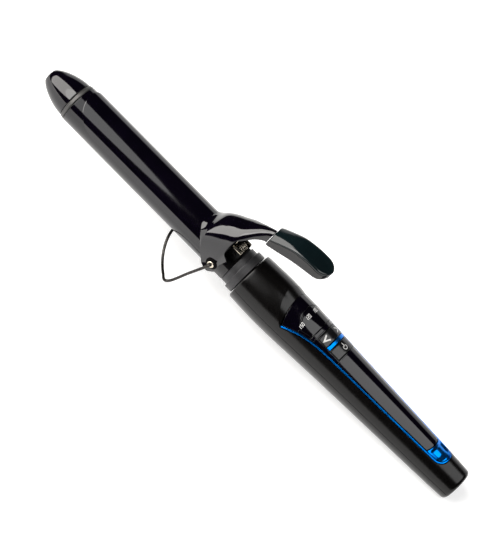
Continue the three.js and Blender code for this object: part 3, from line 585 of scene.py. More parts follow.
CERAMIC = moulded("heater_ceramic", (0.72, 0.69, 0.62), (0.82, 0.8, 0.74), 0.5)
KEY_GREY = moulded("key_dark_grey", (0.004, 0.004, 0.0045), (0.007, 0.007, 0.0075), 0.14, 900)
DARK = moulded("dark_plastic", (0.004, 0.004, 0.005), (0.009, 0.009, 0.01), 0.35)
BOARD = moulded("board_green", (0.006, 0.06, 0.025), (0.01, 0.09, 0.038), 0.45)
LEAD = moulded("lead_insulation", (0.22, 0.012, 0.008), (0.3, 0.02, 0.012), 0.45)
INK = moulded("printed_white", (0.5, 0.5, 0.49), (0.66, 0.65, 0.64), 0.4, 600)


# --- barrel and tip
def add_barrel():
    section = [(BARREL_BACK, BARREL_BORE_R), (BARREL_BACK, BARREL_R),
               (BARREL_FRONT, BARREL_R), (BARREL_FRONT, BARREL_BORE_R)]
    dress("barrel_tube", ring(section, 0.25), "gloss_black_barrel", BLACK, angle=50)


def add_tip_ring():
    back, front, base = RING_BACK, RING_FRONT, TIP_BASE_R
    section = [(back, RING_BORE_R), (back, base + 0.35), (back + 0.6, base + 0.6),
               (front - 0.5, base + 0.25), (front, base - 0.05), (front, RING_BORE_R)]
    dress("tip_ring", ring(section, 0.18), "satin_black", RING_METAL, angle=50)


def add_tip_cap():
    base = RING_FRONT + GAP
    ogive = []
    for angle in steps(0, 90, 28):
        t = sin(angle * DEG)
        radius = TIP_FLAT_R + (TIP_BASE_R - TIP_FLAT_R) * max(1 - t**1.7, 0) ** 0.75
        ogive.append((base + (TIP_X - base) * t, radius))
    inside = rounded([(BARREL_FRONT - 4, 0), (BARREL_FRONT - 4, SPIGOT_R), (BARREL_FRONT - 0.2, SPIGOT_R),
                      (BARREL_FRONT, 8.6), (base, 8.6)], 0.15)
    front = rounded([ogive[-2], ogive[-1], (TIP_X, 0)], 0.4)
    edge = [(base, TIP_BASE_R - 0.25), (base + 0.08, TIP_BASE_R - 0.06), (base + 0.25, TIP_BASE_R)]
    outline = inside + edge + ogive[1:-2] + front
    dress("tip_cap", turned(outline), "gloss_black_plastic", TIP_BLACK, angle=50)


# --- neck, collar and spring
def rod(start, end, radius, sides=48):
    """Round cutting tool between two points."""
    start, end = Vector(start), Vector(end)
    side = (end - start).normalized().orthogonal()
    return make_object("tool", sweep([start, end], circle(radius, sides), side))


def box(x, y, z):
    """Square cutting tool over three spans."""
    corners = ((0, 0), (1, 0), (1, 1), (0, 1))
    return make_object("tool", loft([[Vector((x[i], y[j], end)) for i, j in corners] for end in z]))


def add_neck():
    flange, shoulder, end = NECK_BACK + 3, BARREL_BACK - GAP, 212
    outline = rounded([(NECK_BACK, 0), (NECK_BACK, 11.5), (flange, 11.5), (flange, NECK_SHANK_R),
                       (PLATFORM_BACK, NECK_SHANK_R), (PLATFORM_BACK, BARREL_R), (shoulder, BARREL_R),
                       (shoulder, SPIGOT_R), (end, SPIGOT_R), (end, 0)], 0.2, cuts=2)
    flat = box((PLATFORM_BACK - 0.01, PLATFORM_FRONT), (-16, 16), (PLATFORM_Z, 16))
    channel = rod((150, 0, WIRE_CHANNEL_Z), (220, 0, WIRE_CHANNEL_Z), WIRE_CHANNEL_R)
    pivots = rod((PIVOT_X, -20, PIVOT_Z), (PIVOT_X, 20, PIVOT_Z), PIVOT_BORE_R, 32)
    dress("neck", turned(outline, 96), "satin_black", NECK_BLACK, cuts=[flat, channel, pivots], angle=30)


def add_collar():
    back, step, front = COLLAR
    big, small = COLLAR_R
    inner = NECK_SHANK_R + GAP
    section = [(back, inner), (back, big), (step, big), (step, small), (front, small), (front, inner)]
    dress("collar_ring", ring(section, 0.35), "satin_black", COLLAR_BLACK, angle=50)


def add_spring_bracket():
    """Channel and pin painted near-black as shade below bright nickel rims along the top, and its screw."""
    half, sheet, top, base = BRACKET_HALF_W, BRACKET_SHEET, BRACKET_TOP, BRACKET_BASE
    bend = rounded([(-half, top), (-half, base), (half, base), (half, top)], 1.1, cuts=5)
    inner = rounded([(-half + sheet, top), (-half + sheet, base + sheet), (half - sheet, base + sheet),
                     (half - sheet, top)], 0.5, cuts=5)
    section = bend + inner[::-1]
    channel = loft([[Vector((x, y, z)) for y, z in section] for x in BRACKET_X])
    crown = rod((SPRING_X, -9, SPRING_Z), (SPRING_X, 9, SPRING_Z), 1.3, 32)
    # The channel's near-black is painted shade.
    dress("spring_bracket", channel, "gunmetal", BRACKET_SHADE_BLACK, cuts=[crown], edge=0.12)
    # Nickel rims along the top: the bracket's lit edge, above its painted shade.
    for side, word in SIDES:
        rim = rounded([(half + 0.15, top), (half + 0.15, top + 0.75), (half - 1.3, top + 0.75),
                       (half - 1.3, top)], 0.25, closed=True)
        shape = loft([[Vector((x + 0.4, side * y, z)) for y, z in rim] for x in BRACKET_X])
        finish_piece(make_object(f"spring_bracket_rim_{word}", shape), "nickel", NICKEL, edge=0.1)
    reach = half + 0.4
    pin = [(-reach, 0), (-reach, 1.0), (-reach + 0.15, 1.1), (reach - 0.15, 1.1), (reach, 1.0), (reach, 0)]
    # The pin's near-black is painted shade.
    dress("spring_pin", crosswise(turned(pin, 40), SPRING_X, SPRING_Z), "gunmetal", BRACKET_SHADE_BLACK, angle=40)
    screw_head("bracket_screw", 188.6, base + sheet, 1.7, 0.9, "nickel", NICKEL)


def screw_head(name, x, z, radius, depth, slot, material, down=False, replaced=()):
    """Pan head with a cross recess, its seat at height z."""
    dome = [(0, depth)] + [(radius * sin(a * DEG), depth * (0.45 + 0.55 * cos(a * DEG)))
                           for a in steps(10, 80, 6)] + [(radius, depth * 0.35), (radius, 0), (0, 0)]
    sign = -1 if down else 1
    verts, faces = turned([(h, r) for r, h in dome], 48)
    thing = make_object(name, ([Vector((x + v[1], v[2], z + sign * v[0])) for v in verts], faces))
    deep = sorted((z + sign * depth * 0.45, z + sign * depth * 2))
    arms = (radius * 0.6, radius * 0.14)
    cut(thing, [box((x - a, x + a), (-b, b), deep) for a, b in (arms, arms[::-1])])
    finish_piece(thing, slot, material, replaced=replaced, angle=40)


def add_clamp_spring():
    half_span = 3.3
    points = [Vector((SPRING_X + COIL_R, -half_span, BRACKET_BASE + 1.7)),
              Vector((SPRING_X + COIL_R, -half_span, SPRING_Z - 1.5))]
    for s in steps(0, 1, COIL_TURNS * 12):
        angle = COIL_TURNS * 2 * pi * s
        points.append(Vector((SPRING_X + COIL_R * cos(angle), half_span * (2 * s - 1),
                              SPRING_Z + COIL_R * sin(angle))))
    end = points[-1]
    for x, z in ((0.3, 4), (1, 8), (1.9, 12)):
        points.append(Vector((end.x + x, half_span - z * 0.06, end.z + z)))
    dress("clamp_spring", wire(curve_points(points, 3), 0.55, 12), "nickel", NICKEL, angle=60)


# --- clamp plate and lever
def add_clamp_plate():
    rows = []
    for s in [0, 0.004, 0.02] + steps(0.06, 0.94, 22) + [0.98, 0.996, 1]:
        row = []
        for beta in steps(-90, 90, 56):
            q = sin(beta * DEG)
            end = PLATE_FRONT - PLATE_NOSE * (1 - cos(beta * DEG))
            row.append(on_round(mix(PLATE_BACK, end, s), PLATE_R[1], q * PLATE_HALF_ANGLE))
        rows.append(row)
    dress("clamp_plate", grid(rows), "gloss_black_metal", LEVER_BLACK, "clamp",
          wall=PLATE_R[1] - PLATE_R[0], edge=0.2)


def lever_point(x, s):
    """Point of the lever's outer face at station x; s is the angle up its arch, below zero down the ear."""
    top, half = smooth(LEVER_ARCHES, x), smooth(LEVER_ARCHES, x, 2)
    power = 2 / smooth(LEVER_ARCHES, x, 3)
    if s <= 0:
        return Vector((x, half, s * EAR_OUT))
    if s > pi / 2 - 1e-9:
        return Vector((x, 0, top))
    return Vector((x, half * cos(s) ** power, top * sin(s) ** power))


def lever_angle(x, z):
    """Arch angle of the point at station x and height z."""
    top, squareness = smooth(LEVER_ARCHES, x), smooth(LEVER_ARCHES, x, 3)
    return z / EAR_OUT if z <= 0 else asin(min(z / top, 1) ** (squareness / 2))


def lever_edge(table, s, low, high):
    """Station at which the arch line s meets an outline of (height, station) points."""
    for _ in range(50):
        middle = (low + high) / 2
        if middle < smooth(table, clamp(lever_point(middle, s).z, table[0][0], table[-1][0])):
            low = middle
        else:
            high = middle
    return middle


FACET_DROP = 0.06
FACET_WIDTH = [
    (-0.6, 0.5), (0.2, 0.6), (0.45, 1.4), (0.75, 3.0), (1.0, 3.7), (1.25, 3.0), (1.45, 1.3),
    (1.6, 0.6)]


def add_clamp_lever():
    corner_x = ARM_EDGE[0][0]
    corner = lever_angle(*ARM_EDGE[0])
    lowest = (PIVOT_Z - LOBE_R) / EAR_OUT
    lower = [mix(lowest, corner, (1 - cos(t * pi)) / 2 if t < 0.25 else t) for t in steps(0, 1, 34)]
    lower = sorted(set(lower))
    upper = steps(corner, pi / 2, 18)[1:]
    half_rows = []
    for s in lower + upper:
        in_arm = s >= corner - 1e-9
        share = (s - corner) / (pi / 2 - corner) if in_arm else 0
        row = []
        for x in steps(ARM_END, corner_x, 18)[:-1]:
            if in_arm:
                edge = lever_angle(x, smooth(ARM_EDGE, x))
                row.append(lever_point(x, mix(edge, pi / 2, share)))
            else:
                row.append(None)
        back = corner_x if in_arm else lever_edge(LEVER_REAR, s, 184, PIVOT_X + 0.01)
        front = lever_edge(LEVER_FRONT, s, PIVOT_X - 0.01, 214)
        facet = min(smooth(FACET_WIDTH, clamp(s, -0.6, 1.57)), 0.45 * (front - back))
        for x in steps(back, front - facet, 30):
            row.append(lever_point(x, s))
        for t in (0.5, 1):
            p = lever_point(front - facet * (1 - t), s)
            drop = 1 - FACET_DROP * t * clamp((s - 0.1) / 0.3)
            row.append(Vector((p.x, p.y * drop, p.z * drop)))
        half_rows.append(row)
    other = [[p and Vector((p.x, -p.y, p.z)) for p in row] for row in half_rows[-2::-1]]
    dress("clamp_lever", grid(half_rows + other), "gloss_black_metal", LEVER_BLACK, "clamp",
          wall=LEVER_T, edge=0.22, angle=40)


# --- thumb rest
def thumb_half_width(x):
    back = clamp((x - THUMB_BACK) / THUMB_NOSE)
    front = clamp((THUMB_FRONT - x) / 2)
    return THUMB_HALF_W * sqrt(1 - (1 - back) ** 2.2) * (0.86 + 0.14 * sqrt(1 - (1 - front) ** 2))


def thumb_stations():
    nose = [THUMB_BACK + THUMB_NOSE * (1 - cos(a * DEG)) for a in steps(8, 90, 16)]
    front = [THUMB_FRONT - 2 * (1 - cos(a * DEG)) for a in steps(90, 0, 8)]
    return nose + steps(nose[-1], front[0], 30)[1:-1] + front


def add_thumb_base():
    loops = []
    for x in thumb_stations():
        half, low, high = thumb_half_width(x), smooth(THUMB_UNDERSIDE, x), smooth(THUMB_SEAM, x)
        corner = min(1.4, half * 0.35)
        outline = [(half, high), (half, low + 1.2), (half - corner, low), (-half + corner, low),
                   (-half, low + 1.2), (-half, high)]
        outline = rounded(outline, 0.9, cuts=5)
        loops.append([Vector((x, y, z)) for y, z in outline])
    hole = rod((THUMB_SCREW_X, 0, 30), (THUMB_SCREW_X, 0, 41.2), SCREW_HOLE_R)
    dress("thumb_base", loft(loops), "gloss_black_plastic", THUMB_GREY, "clamp",
          cuts=[hole], edge=0.18, angle=42)


PAD_FLAT = [(1, 0), (0.985, 0.7), (0.93, 1.25), (0.8, 1.5), (0.6, 1.45), (0.3, 1.3), (0, 1.25)]
PAD_ROOF = [(1, 0), (0.97, 0.6), (0.8, 1.75), (0.58, 2.9), (0.42, 3.35), (0.22, 3.6), (0, 3.7)]


def add_thumb_pad():
    """Pad with a dished rear half and a sloped facet down each side of its front half."""
    loops = []
    for x in thumb_stations():
        half = thumb_half_width(x) - 0.1
        low = smooth(THUMB_SEAM, x) + GAP
        front = clamp((x - 155) / 21)
        front = front * front * (3 - 2 * front)
        shape = [(mix(a[0], b[0], front), mix(a[1], b[1], front)) for a, b in zip(PAD_FLAT, PAD_ROOF)]
        side = rounded([(0, shape[-1][1])] + [(w * half, h) for w, h in shape[-2::-1]], 0.35, cuts=2)
        right = [Vector((x, y, low + z)) for y, z in side]
        left = [Vector((x, -y, low + z)) for y, z in side[:0:-1]]
        loops.append(left + right)
    dress("thumb_pad", loft(loops), "teal_black", PAD, "clamp", edge=0.25, angle=42)


# --- pivots and stand
def add_pivots():
    for side, word in SIDES:
        face = EAR_OUT + 0.15
        washer = [(face, PIVOT_BORE_R), (face, 3.9), (face + 0.35, 3.85), (face + 0.75, 3.1),
                  (face + 0.95, 2.2), (face + 0.95, PIVOT_BORE_R)]
        eyelet = [(9.2, EYELET_BORE_R), (9.2, 1.65), (face + 0.9, 1.65), (face + 1.05, 2.3),
                  (face + 1.5, 2.1), (face + 1.5, EYELET_BORE_R)]
        looks = (("pivot_washer", washer, 0.25, WASHER_BLACK, "dark_plastic"),
                 ("pivot_eyelet", eyelet, 0.2, NICKEL, "nickel"))
        for name, section, radius, material, slot in looks:
            shape = crosswise(ring(section, radius, 64), PIVOT_X, PIVOT_Z, side)
            dress(f"{name}_{word}", shape, slot, material, angle=50)


def add_stand():
    pin = [Vector((0, y, 0)) for y in (10.2, 13.5, KNEE.y - 0.9)]
    leg_end = KNEE.lerp(FOOT, 0.93)
    half = pin + [KNEE, KNEE.lerp(leg_end, 0.1), KNEE.lerp(leg_end, 0.5), leg_end]
    for angle in steps(4, 86, 10):
        point = FOOT.lerp(APEX, sin(angle * DEG))
        point.y = (FOOT.y + 0.5) * cos(angle * DEG)
        half.append(point)
    route = [p + Vector((PIVOT_X, 0, PIVOT_Z)) for p in half + [APEX] + mirrored(half)]
    dress("stand_wire", wire(curve_points(route, 6), WIRE_R), "gunmetal", GUNMETAL, "stand", angle=60)


# --- handle shells
RAIL_POINTS = [(p.x, p.y) for p in curve_points([Vector((x, w, 0)) for x, w in RAIL_OUTLINE], 14)]


def rail_table(offset):
    """(x, half width) of the rail's line moved outwards by offset, front to tail."""
    rows = []
    last = len(RAIL_POINTS) - 1
    for i, (x, w) in enumerate(RAIL_POINTS):
        a, b = RAIL_POINTS[max(i - 1, 0)], RAIL_POINTS[min(i + 1, last)]
        way = Vector((b[0] - a[0], b[1] - a[1])).normalized()
        moved = (x + way.y * offset, w - way.x * offset)
        if moved[1] > 0 and (not rows or moved[0] < rows[-1][0] - 0.005):
            rows.append(moved)
    return rows


def lookup(table, x):
    """Straight-line value through (x, value) rows that run from high x to low."""
    if x >= table[0][0]:
        return table[0][1]
    for (x1, v1), (x0, v0) in zip(table, table[1:]):
        if x >= x0:
            return mix(v0, v1, (x - x0) / (x1 - x0))
    return 0.0


def panel_swell(x, q):
    """How far the panel's cross lines bow towards the tip."""
    return PANEL_BULGE * clamp((x - 121) / 17) ** 2 * (1 - q * q)


def panel_drop(x, q):
    """How far the panel sits below the handle's round near its front edge."""
    return 0.7 * clamp((x - 121) / 17) ** 2 * (1 - q * q)


def tail_rise(x):
    """Radius of the handle with its rounded tail edge."""
    if x >= TAIL_EDGE:
        return handle_radius(x)
    share = (TAIL_EDGE - x) / TAIL_EDGE
    return handle_radius(TAIL_EDGE) - TAIL_EDGE * (1 - sqrt(max(1 - share**2, 0)))


CRESCENT = 6.6
CRESCENT_DEPTH = 1.0
TAIL_STATIONS = [0, 0.05, 0.2, 0.5, 0.9, 1.4, 2, TAIL_EDGE]
FRONT_EDGE = [(171.75, 16.08), (172.05, 15.85), (HANDLE_FRONT, 15.5)]


def seam_angle(x):
    return acos(SEAM / tail_rise(x))


def shell_sides():
    """Rows of the upper shell from the tail to the pocket's corners, one side and its mirror image."""
    table = rail_table(TRIM_HALF_W + GAP)
    tail_x = table[-1][0] - 0.02
    corner_x = PANEL_FRONT + GAP
    rows = []

    def add_row(x, edge):
        side = [on_round(x, tail_rise(x), mix(seam_angle(x), edge, t)) for t in steps(0, 1, 30)]
        rows.append((side, mirrored(side)))

    for x in TAIL_STATIONS + steps(5.5, tail_x - 0.4, 8):
        add_row(x, 0)
    for t in steps(0, 1, 84):
        x = mix(tail_x, corner_x, 1 - cos(t * pi / 2))
        add_row(x, lookup(table, x) / handle_radius(x))
    return rows


def shell_front(rows):
    """Rows from the pocket's bowed front edge over the crescent facet to the front of the handle."""
    left_end, right_end = rows[-1]
    corner = atan2(left_end[-1].y, left_end[-1].z)
    corner_x = left_end[-1].x
    bow = [(corner_x + PANEL_BULGE * (1 - q * q), corner * q) for q in steps(1, -1, 40)[1:-1]]
    start = [(p.x, atan2(p.y, p.z)) for p in left_end] + bow
    start += [(p.x, atan2(p.y, p.z)) for p in right_end]

    def bowed(angle):
        q = clamp(angle / corner, -1, 1)
        return 1 - q * q

    lines = []
    for s in [0, 0.02, 0.35, 0.68, 0.98, 1.0]:
        depth = CRESCENT_DEPTH * (1 - clamp((s - 0.02) / 0.96))
        line = []
        for x, angle in start:
            at = x + (CRESCENT * bowed(angle) + 0.25) * s
            line.append(on_round(at, tail_rise(at) - depth * bowed(angle), angle))
        lines.append(line)
    last = [(x + CRESCENT * bowed(angle) + 0.25, angle) for x, angle in start]
    for s in steps(0, 1, 16)[1:]:
        spots = [(mix(x, ROUND_END, s), angle) for x, angle in last]
        lines.append([on_round(x, tail_rise(x), angle) for x, angle in spots])
    for x, radius in FRONT_EDGE:
        lines.append([on_round(x, radius, angle) for _, angle in last])
    return lines


def add_upper():
    rows = shell_sides()
    patches = [left for left, _ in rows], [right for _, right in rows], shell_front(rows)
    dress("upper_shell", joined(map(grid, patches)), "soft_black", SOFT, wall=WALL, edge=0.12, angle=40)
    close_ends("upper", 1)


def close_ends(shell, side):
    """Half rings that close a shell's front round the neck and its tail round the swivel."""
    ends = (("front", (HANDLE_FRONT - 2.4, HANDLE_FRONT - 0.02), (NECK_SHANK_R + GAP, 15.3)),
            ("tail", (0.02, 2.4), (5.7, 8.5)))
    for end, span, radii in ends:
        sheets = []
        for x in span:
            tops = [(radius, acos(SEAM / radius)) for radius in radii]
            sheets.append([[on_round(x, radius, a) for a in steps(-top, top, 64)] for radius, top in tops])
        verts, faces = block(*sheets)
        verts = [Vector((v[0], v[1], side * v[2])) for v in verts]
        finish_piece(make_object(f"{shell}_{end}_face", (verts, faces)), "soft_black", SOFT, edge=0.15)


def add_lower():
    outline = [(x, tail_rise(x)) for x in TAIL_STATIONS + steps(5.5, ROUND_END, 110)] + FRONT_EDGE
    rows = []
    for x, radius in outline:
        seam = pi - acos(SEAM / radius)
        rows.append([on_round(x, radius, a) for a in steps(seam, 2 * pi - seam, 90)])
    holes = [rod((x, 0, -20), (x, 0, -handle_radius(x) + 2.15), SCREW_HOLE_R) for x in SCREW_X]
    dress("lower_shell", grid(rows), "soft_black", SOFT, wall=WALL, cuts=holes, edge=0.14, angle=40)
    close_ends("lower", -1)
    for x, word in zip(SCREW_X, ("rear", "front")):
        screw_head(f"shell_screw_{word}_look", x, -handle_radius(x) + 2.9, 2.3, 1.5, "gunmetal", GUNMETAL,
                   down=True, replaced=[f"shell_screw_{word}"])


# --- control panel
def panel_block(offset, ends, low, high, rows, columns=32, bulge=True, dish=None):
    """Curved block over the panel; ends are two functions of q, -1 to 1 across, giving its ends."""
    table = rail_table(offset)
    tail_x, front_x = table[-1][0] + 0.02, table[0][0]

    def sheet(rise):
        made = []
        for t in steps(0, 1, rows):
            line = []
            for q in steps(-1, 1, columns):
                start, end = max(ends[0](q), tail_x), min(ends[1](q), front_x)
                share = t if start > 20 else 1 - cos(t * pi / 2)
                x = mix(start, end, share)
                at = x + (panel_swell(x, q) if bulge else 0)
                lift = rise - panel_drop(x, q) - (dish(x, q) if dish else 0)
                line.append(on_handle(at, q * lookup(table, x) / handle_radius(x), lift))
            made.append(line)
        return made

    return block(sheet(high), sheet(low))


def level(x):
    """End of a panel part that stays at one place all the way across."""
    return lambda q: x


def arc_block(x, half_angle, low, high):
    """Curved block over the handle between two stations and plus or minus an angle."""
    def sheet(rise):
        return [[on_handle(at, a, rise) for a in steps(-half_angle, half_angle, 40)]
                for at in steps(*x, 6)]

    return block(sheet(high), sheet(low))


PANEL_EDGE = -(TRIM_HALF_W + GAP)
PANEL_LOW = -PANEL_SINK + GAP
PANEL_TOP = -0.05
LENS_EDGE = -2.4
KEYS_X = (POWER_X[0] - 0.4, ROCKER_X[1] + 0.4)
KEY_RIM = 0.6


def inlay_end(q):
    return INLAY_FRONT + 0.1 + 1.3 * q * q


def window_end(q):
    """Front edge of the window, swept back towards its sides."""
    return WINDOW_X[1] - 4.2 - 3.5 * q * q


def add_control_panel():
    rim = (KEYS_X[0] - KEY_RIM, KEYS_X[1] + KEY_RIM)

    def before_window(q):
        return window_end(clamp(q * 1.16, -1, 1)) + GAP

    parts = (
        ("control_panel_look", lambda q: inlay_end(q) + GAP, level(rim[0]), 60, ["control_panel"]),
        ("panel_behind_window", level(rim[1]), level(WINDOW_X[0] - GAP), 6, []),
        ("panel_before_window", before_window, level(PANEL_FRONT), 8, []))
    for name, start, end, rows, replaced in parts:
        thing = make_object(name, panel_block(PANEL_EDGE, (start, end), PANEL_LOW, PANEL_TOP, rows))
        finish_piece(thing, "gloss_black_plastic", PANEL_BLACK, replaced=replaced, edge=0.14)
    sides = panel_block(PANEL_EDGE, (level(rim[0]), level(rim[1])), PANEL_LOW, PANEL_TOP, 10)
    band = make_object("panel_key_surround", sides)
    cut(band, [make_object("tool", arc_block(KEYS_X, KEY_HALF_ANGLE + 1.4 * DEG, -4, 4))])
    finish_piece(band, "gloss_black_plastic", PANEL_BLACK, edge=0.08)


def add_window():
    lens = panel_block(LENS_EDGE, (level(WINDOW_X[0]), window_end), PANEL_LOW, PANEL_TOP, 14)
    dress("display_window", lens, "smoked_lens", SMOKED, edge=0.2)
    outer, inner = rail_table(PANEL_EDGE), rail_table(LENS_EDGE + GAP)
    for side, word in SIDES:
        rows_high, rows_low = [], []
        for x in steps(WINDOW_X[0] - GAP, window_end(1), 14):
            a, b = lookup(outer, x) / handle_radius(x), lookup(inner, x) / handle_radius(x)
            for rise, rows in ((PANEL_TOP, rows_high), (PANEL_LOW, rows_low)):
                line = []
                for angle in steps(a, b, 3):
                    q = angle / a
                    at = x + panel_swell(x, q)
                    line.append(on_handle(at, side * angle, rise - panel_drop(x, q)))
                rows.append(line)
        thing = make_object(f"panel_cheek_{word}", block(rows_high, rows_low))
        finish_piece(thing, "gloss_black_plastic", PANEL_BLACK, edge=0.08)


def add_tail_inlay():
    def dish(x, q):
        along = clamp((x - 17.2) / 3.0) * clamp((26.2 - x) / 1.8)
        across = clamp((1 - abs(q)) / 0.34)
        return 0.9 * (along * across) ** 0.8

    ends = (level(0), lambda q: inlay_end(q) - GAP)
    shape = panel_block(PANEL_EDGE, ends, PANEL_LOW - 0.6, 0.0, 30, 36, False, dish)
    dress("tail_inlay", shape, "metallic_blue", BLUE, edge=0.12, angle=50)


def add_trim_rail():
    half = [(x, w) for x, w in RAIL_POINTS if x < PANEL_FRONT]
    path = half + [(x, -w) for x, w in reversed(half[:-1])]
    path = [on_handle(x, w / handle_radius(x)) for x, w in path]
    section = rounded([(-TRIM_HALF_W, -1.15), (TRIM_HALF_W, -1.15), (TRIM_HALF_W, -0.45), (0.32, 0.06),
                       (-0.32, 0.06), (-TRIM_HALF_W, -0.45)], 0.14, closed=True, cuts=3)
    loops = []
    for i, point in enumerate(path):
        way = heading(path, i)
        out = Vector((0, point.y, point.z)).normalized()
        side = way.cross(out).normalized()
        loops.append([point + side * a + out * b for a, b in section])
    dress("trim_rail", loft(loops), "metallic_blue", BLUE, angle=60)


# --- keys, symbols and numbers
def ribbon(points, width, place, rise, closed):
    """Thin printed stroke along straight (along, across) points; widths taper if two are given."""
    points = [Vector(p) for p in points]
    if closed:
        start = points[0].lerp(points[-1], 0.5)
        points = [start, *points, start + (points[-1] - start) * 0.06]
    last = len(points) - 1
    offsets = []
    for i, p in enumerate(points):
        before = p - points[i - 1] if i else points[1] - p
        after = points[i + 1] - p if i < last else before
        a, b = before.normalized(), after.normalized()
        bisector = Vector((-a.y - b.y, a.x + b.x)).normalized()
        offsets.append(bisector / max(bisector.dot(Vector((-a.y, a.x))), 0.4))
    widths = width if isinstance(width, tuple) else (width, width)
    high, low = [], []
    for i in range(last):
        for s in steps(0, 1, 5)[:None if i == last - 1 else -1]:
            p, off = points[i].lerp(points[i + 1], s), offsets[i].lerp(offsets[i + 1], s)
            half = mix(*widths, (i + s) / last) / 2
            line = [p + off * half * k for k in (1, 0, -1)]
            high.append([place(u, v, rise) for u, v in line])
            low.append([place(u, v, -0.06) for u, v in line])
    return block(high, low)


def print_symbol(name, strokes, place, body="handle", rise=0.05):
    """Joined strokes; each is (points, width, closed)."""
    shape = joined(ribbon(points, width, place, rise, closed) for points, width, closed in strokes)
    finish_piece(make_object(name, shape), "key_grey", INK, body, angle=30)


def key_place(x, angle):
    radius = handle_radius(x) + KEY_PROUD
    return lambda u, v, rise: on_handle(x + u, angle + v / radius, KEY_PROUD + rise)


def add_keys():
    for name, x, body in (("temperature_rocker", ROCKER_X, "rocker"), ("power_key", POWER_X, "power")):
        shape = arc_block(x, KEY_HALF_ANGLE, -1.6, KEY_PROUD)
        dress(name, shape, "key_grey", KEY_GREY, body, edge=0.28, segments=4)
    bar = arc_block(BAR_X, KEY_HALF_ANGLE + 0.3 * DEG, -1.2, KEY_PROUD - 0.1)
    dress("indicator_bar", bar, "metallic_blue", BLUE, edge=0.2)
    middle = sum(ROCKER_X) / 2
    print_symbol("chevron_down", [([(-1.75, -2.4), (0, 1.4), (1.75, -2.4)], 0.9, False)],
                 key_place(middle, 22.2 * DEG), "rocker")
    print_symbol("chevron_up", [([(-1.7, 1.4), (0, -1.4), (1.7, 1.4)], 0.7, False)],
                 key_place(middle, -23 * DEG), "rocker")
    ring = [(1.45 * cos(a * DEG), 1.45 * sin(a * DEG)) for a in steps(38, 322, 24)]
    print_symbol("power_symbol", [(ring, 0.42, False), ([(0.3, 0), (3.2, 0)], (0.6, 0.35), False)],
                 key_place(sum(POWER_X) / 2 - 0.7, -2 * DEG), "power")


# Strokes of the digits on a one by one cell, each with whether it closes.
DIGITS = {
    "0": [([(0, 0), (1, 0), (1, 1), (0, 1)], True)],
    "1": [([(0.2, 0.75), (0.6, 1), (0.6, 0)], False)],
    "2": [([(0, 1), (1, 1), (1, 0.5), (0, 0.5), (0, 0), (1, 0)], False)],
    "5": [([(1, 1), (0, 1), (0, 0.5), (1, 0.5), (1, 0), (0, 0)], False)],
    "8": [([(0, 0), (1, 0), (1, 1), (0, 1)], True), ([(0, 0.5), (1, 0.5)], False)],
}


# Each number, its angle round the handle in degrees and its place along it.
NUMBERS = (("120", 38, 129.3), ("150", 13.8, 129.5), ("180", -13.8, 129.5), ("210", -38, 129.3))


def add_numbers():
    """Temperatures printed across the window near its front edge, read from the tip side."""
    height, width, pitch, stroke = 1.7, 0.8, 1.3, 0.3
    table = rail_table(LENS_EDGE)
    for number, angle, x in NUMBERS:
        def place(u, v, rise):
            at = x + u
            turn = angle * DEG + v / handle_radius(at)
            q = turn * handle_radius(at) / lookup(table, at)
            return on_handle(at + panel_swell(at, q), turn, PANEL_TOP - panel_drop(at, q) + rise)

        strokes = []
        for k, digit in enumerate(number):
            shift = (k - 1) * pitch - width / 2
            for points, closed in DIGITS[digit]:
                moved = [(height / 2 - v * height, -(u * width + shift)) for u, v in points]
                strokes.append((moved, stroke, closed))
        print_symbol(f"number_{number}", strokes, place, rise=0.03)


# --- tail swivel and inner parts
def add_swivel():
    section = [(0.9, 3.2), (0.9, 5.1), (1.2, 5.3), (3.5, 5.3), (3.5, 7.6), (5.4, 7.6), (5.4, 5.3),
               (13, 5.3), (13, 3.2)]
    dress("swivel_sleeve", ring(section, 0.3, 96, 3), "satin_black", COLLAR_BLACK, "cord_swivel", angle=50)


INNER = {
    "heater_holder_upper": ALUMINIUM, "heater_holder_lower": ALUMINIUM, "ceramic_heater": CERAMIC,
    "thermostat_sensor": DARK, "heater_lead_left": LEAD, "heater_lead_right": LEAD,
    "thumb_screw": NICKEL, "circuit_board": BOARD, "tact_switch_up": DARK, "tact_switch_down": DARK,
    "tact_switch_power": DARK, "display_module": DARK, "terminal_block": DARK, "swivel_retainer": DARK,
}


def dress_inner():
    for name, material in INNER.items():
        node = frame["nodes"][name]
        node.data.materials.clear()
        node.data.materials.append(material)


# --- stage, light and camera
VIEW_X = 171.1
VIEW_DISTANCE = 1.11
VIEW_TILT = 1.7 * DEG
VIEW_UP = 0.731
VIEW_SIDE = 0.682
ROLL = (-0.703, 0.711)
LENS_MM = 123.5
SENSOR_MM = 36
FLOOR_GLOW = 0.5
FLOOR_REACH = 6.0
# Where the surround's sweep fades, from none to full, and its strength off and on the sweep.
SWEEP_HEIGHT = (0.44, 0.38)
SWEEP_DEPTH = (0.1, -0.3)
SWEEP_HALF_WIDTH = (0.62, 0.5)
SWEEP_STRENGTH = (0.015, 1.25)


def row_point(x, y, z):
    return TO_ROW @ Vector((x, y, z))


TOWARDS = (UP * VIEW_UP + SIDE * VIEW_SIDE).normalized()
OVER = (UP * VIEW_SIDE - SIDE * VIEW_UP).normalized()


def place_object(name, data, axes, location):
    """Link an object whose own axes and place are given in the row frame."""
    thing = linked(name, data)
    thing.matrix_world = Matrix(axes).transposed().to_4x4()
    thing.location = location
    return thing


def add_camera():
    back = (TOWARDS * cos(VIEW_TILT) - LONG * sin(VIEW_TILT)).normalized()
    ahead = (LONG * cos(VIEW_TILT) + TOWARDS * sin(VIEW_TILT)).normalized()
    right = (ROLL[0] * ahead + ROLL[1] * OVER).normalized()
    data = bpy.data.cameras.new("camera")
    data.lens = LENS_MM
    data.sensor_width = SENSOR_MM
    at = row_point(VIEW_X, 0, 0) + back * VIEW_DISTANCE
    bpy.context.scene.camera = place_object("camera", data, (right, back.cross(right), back), at)


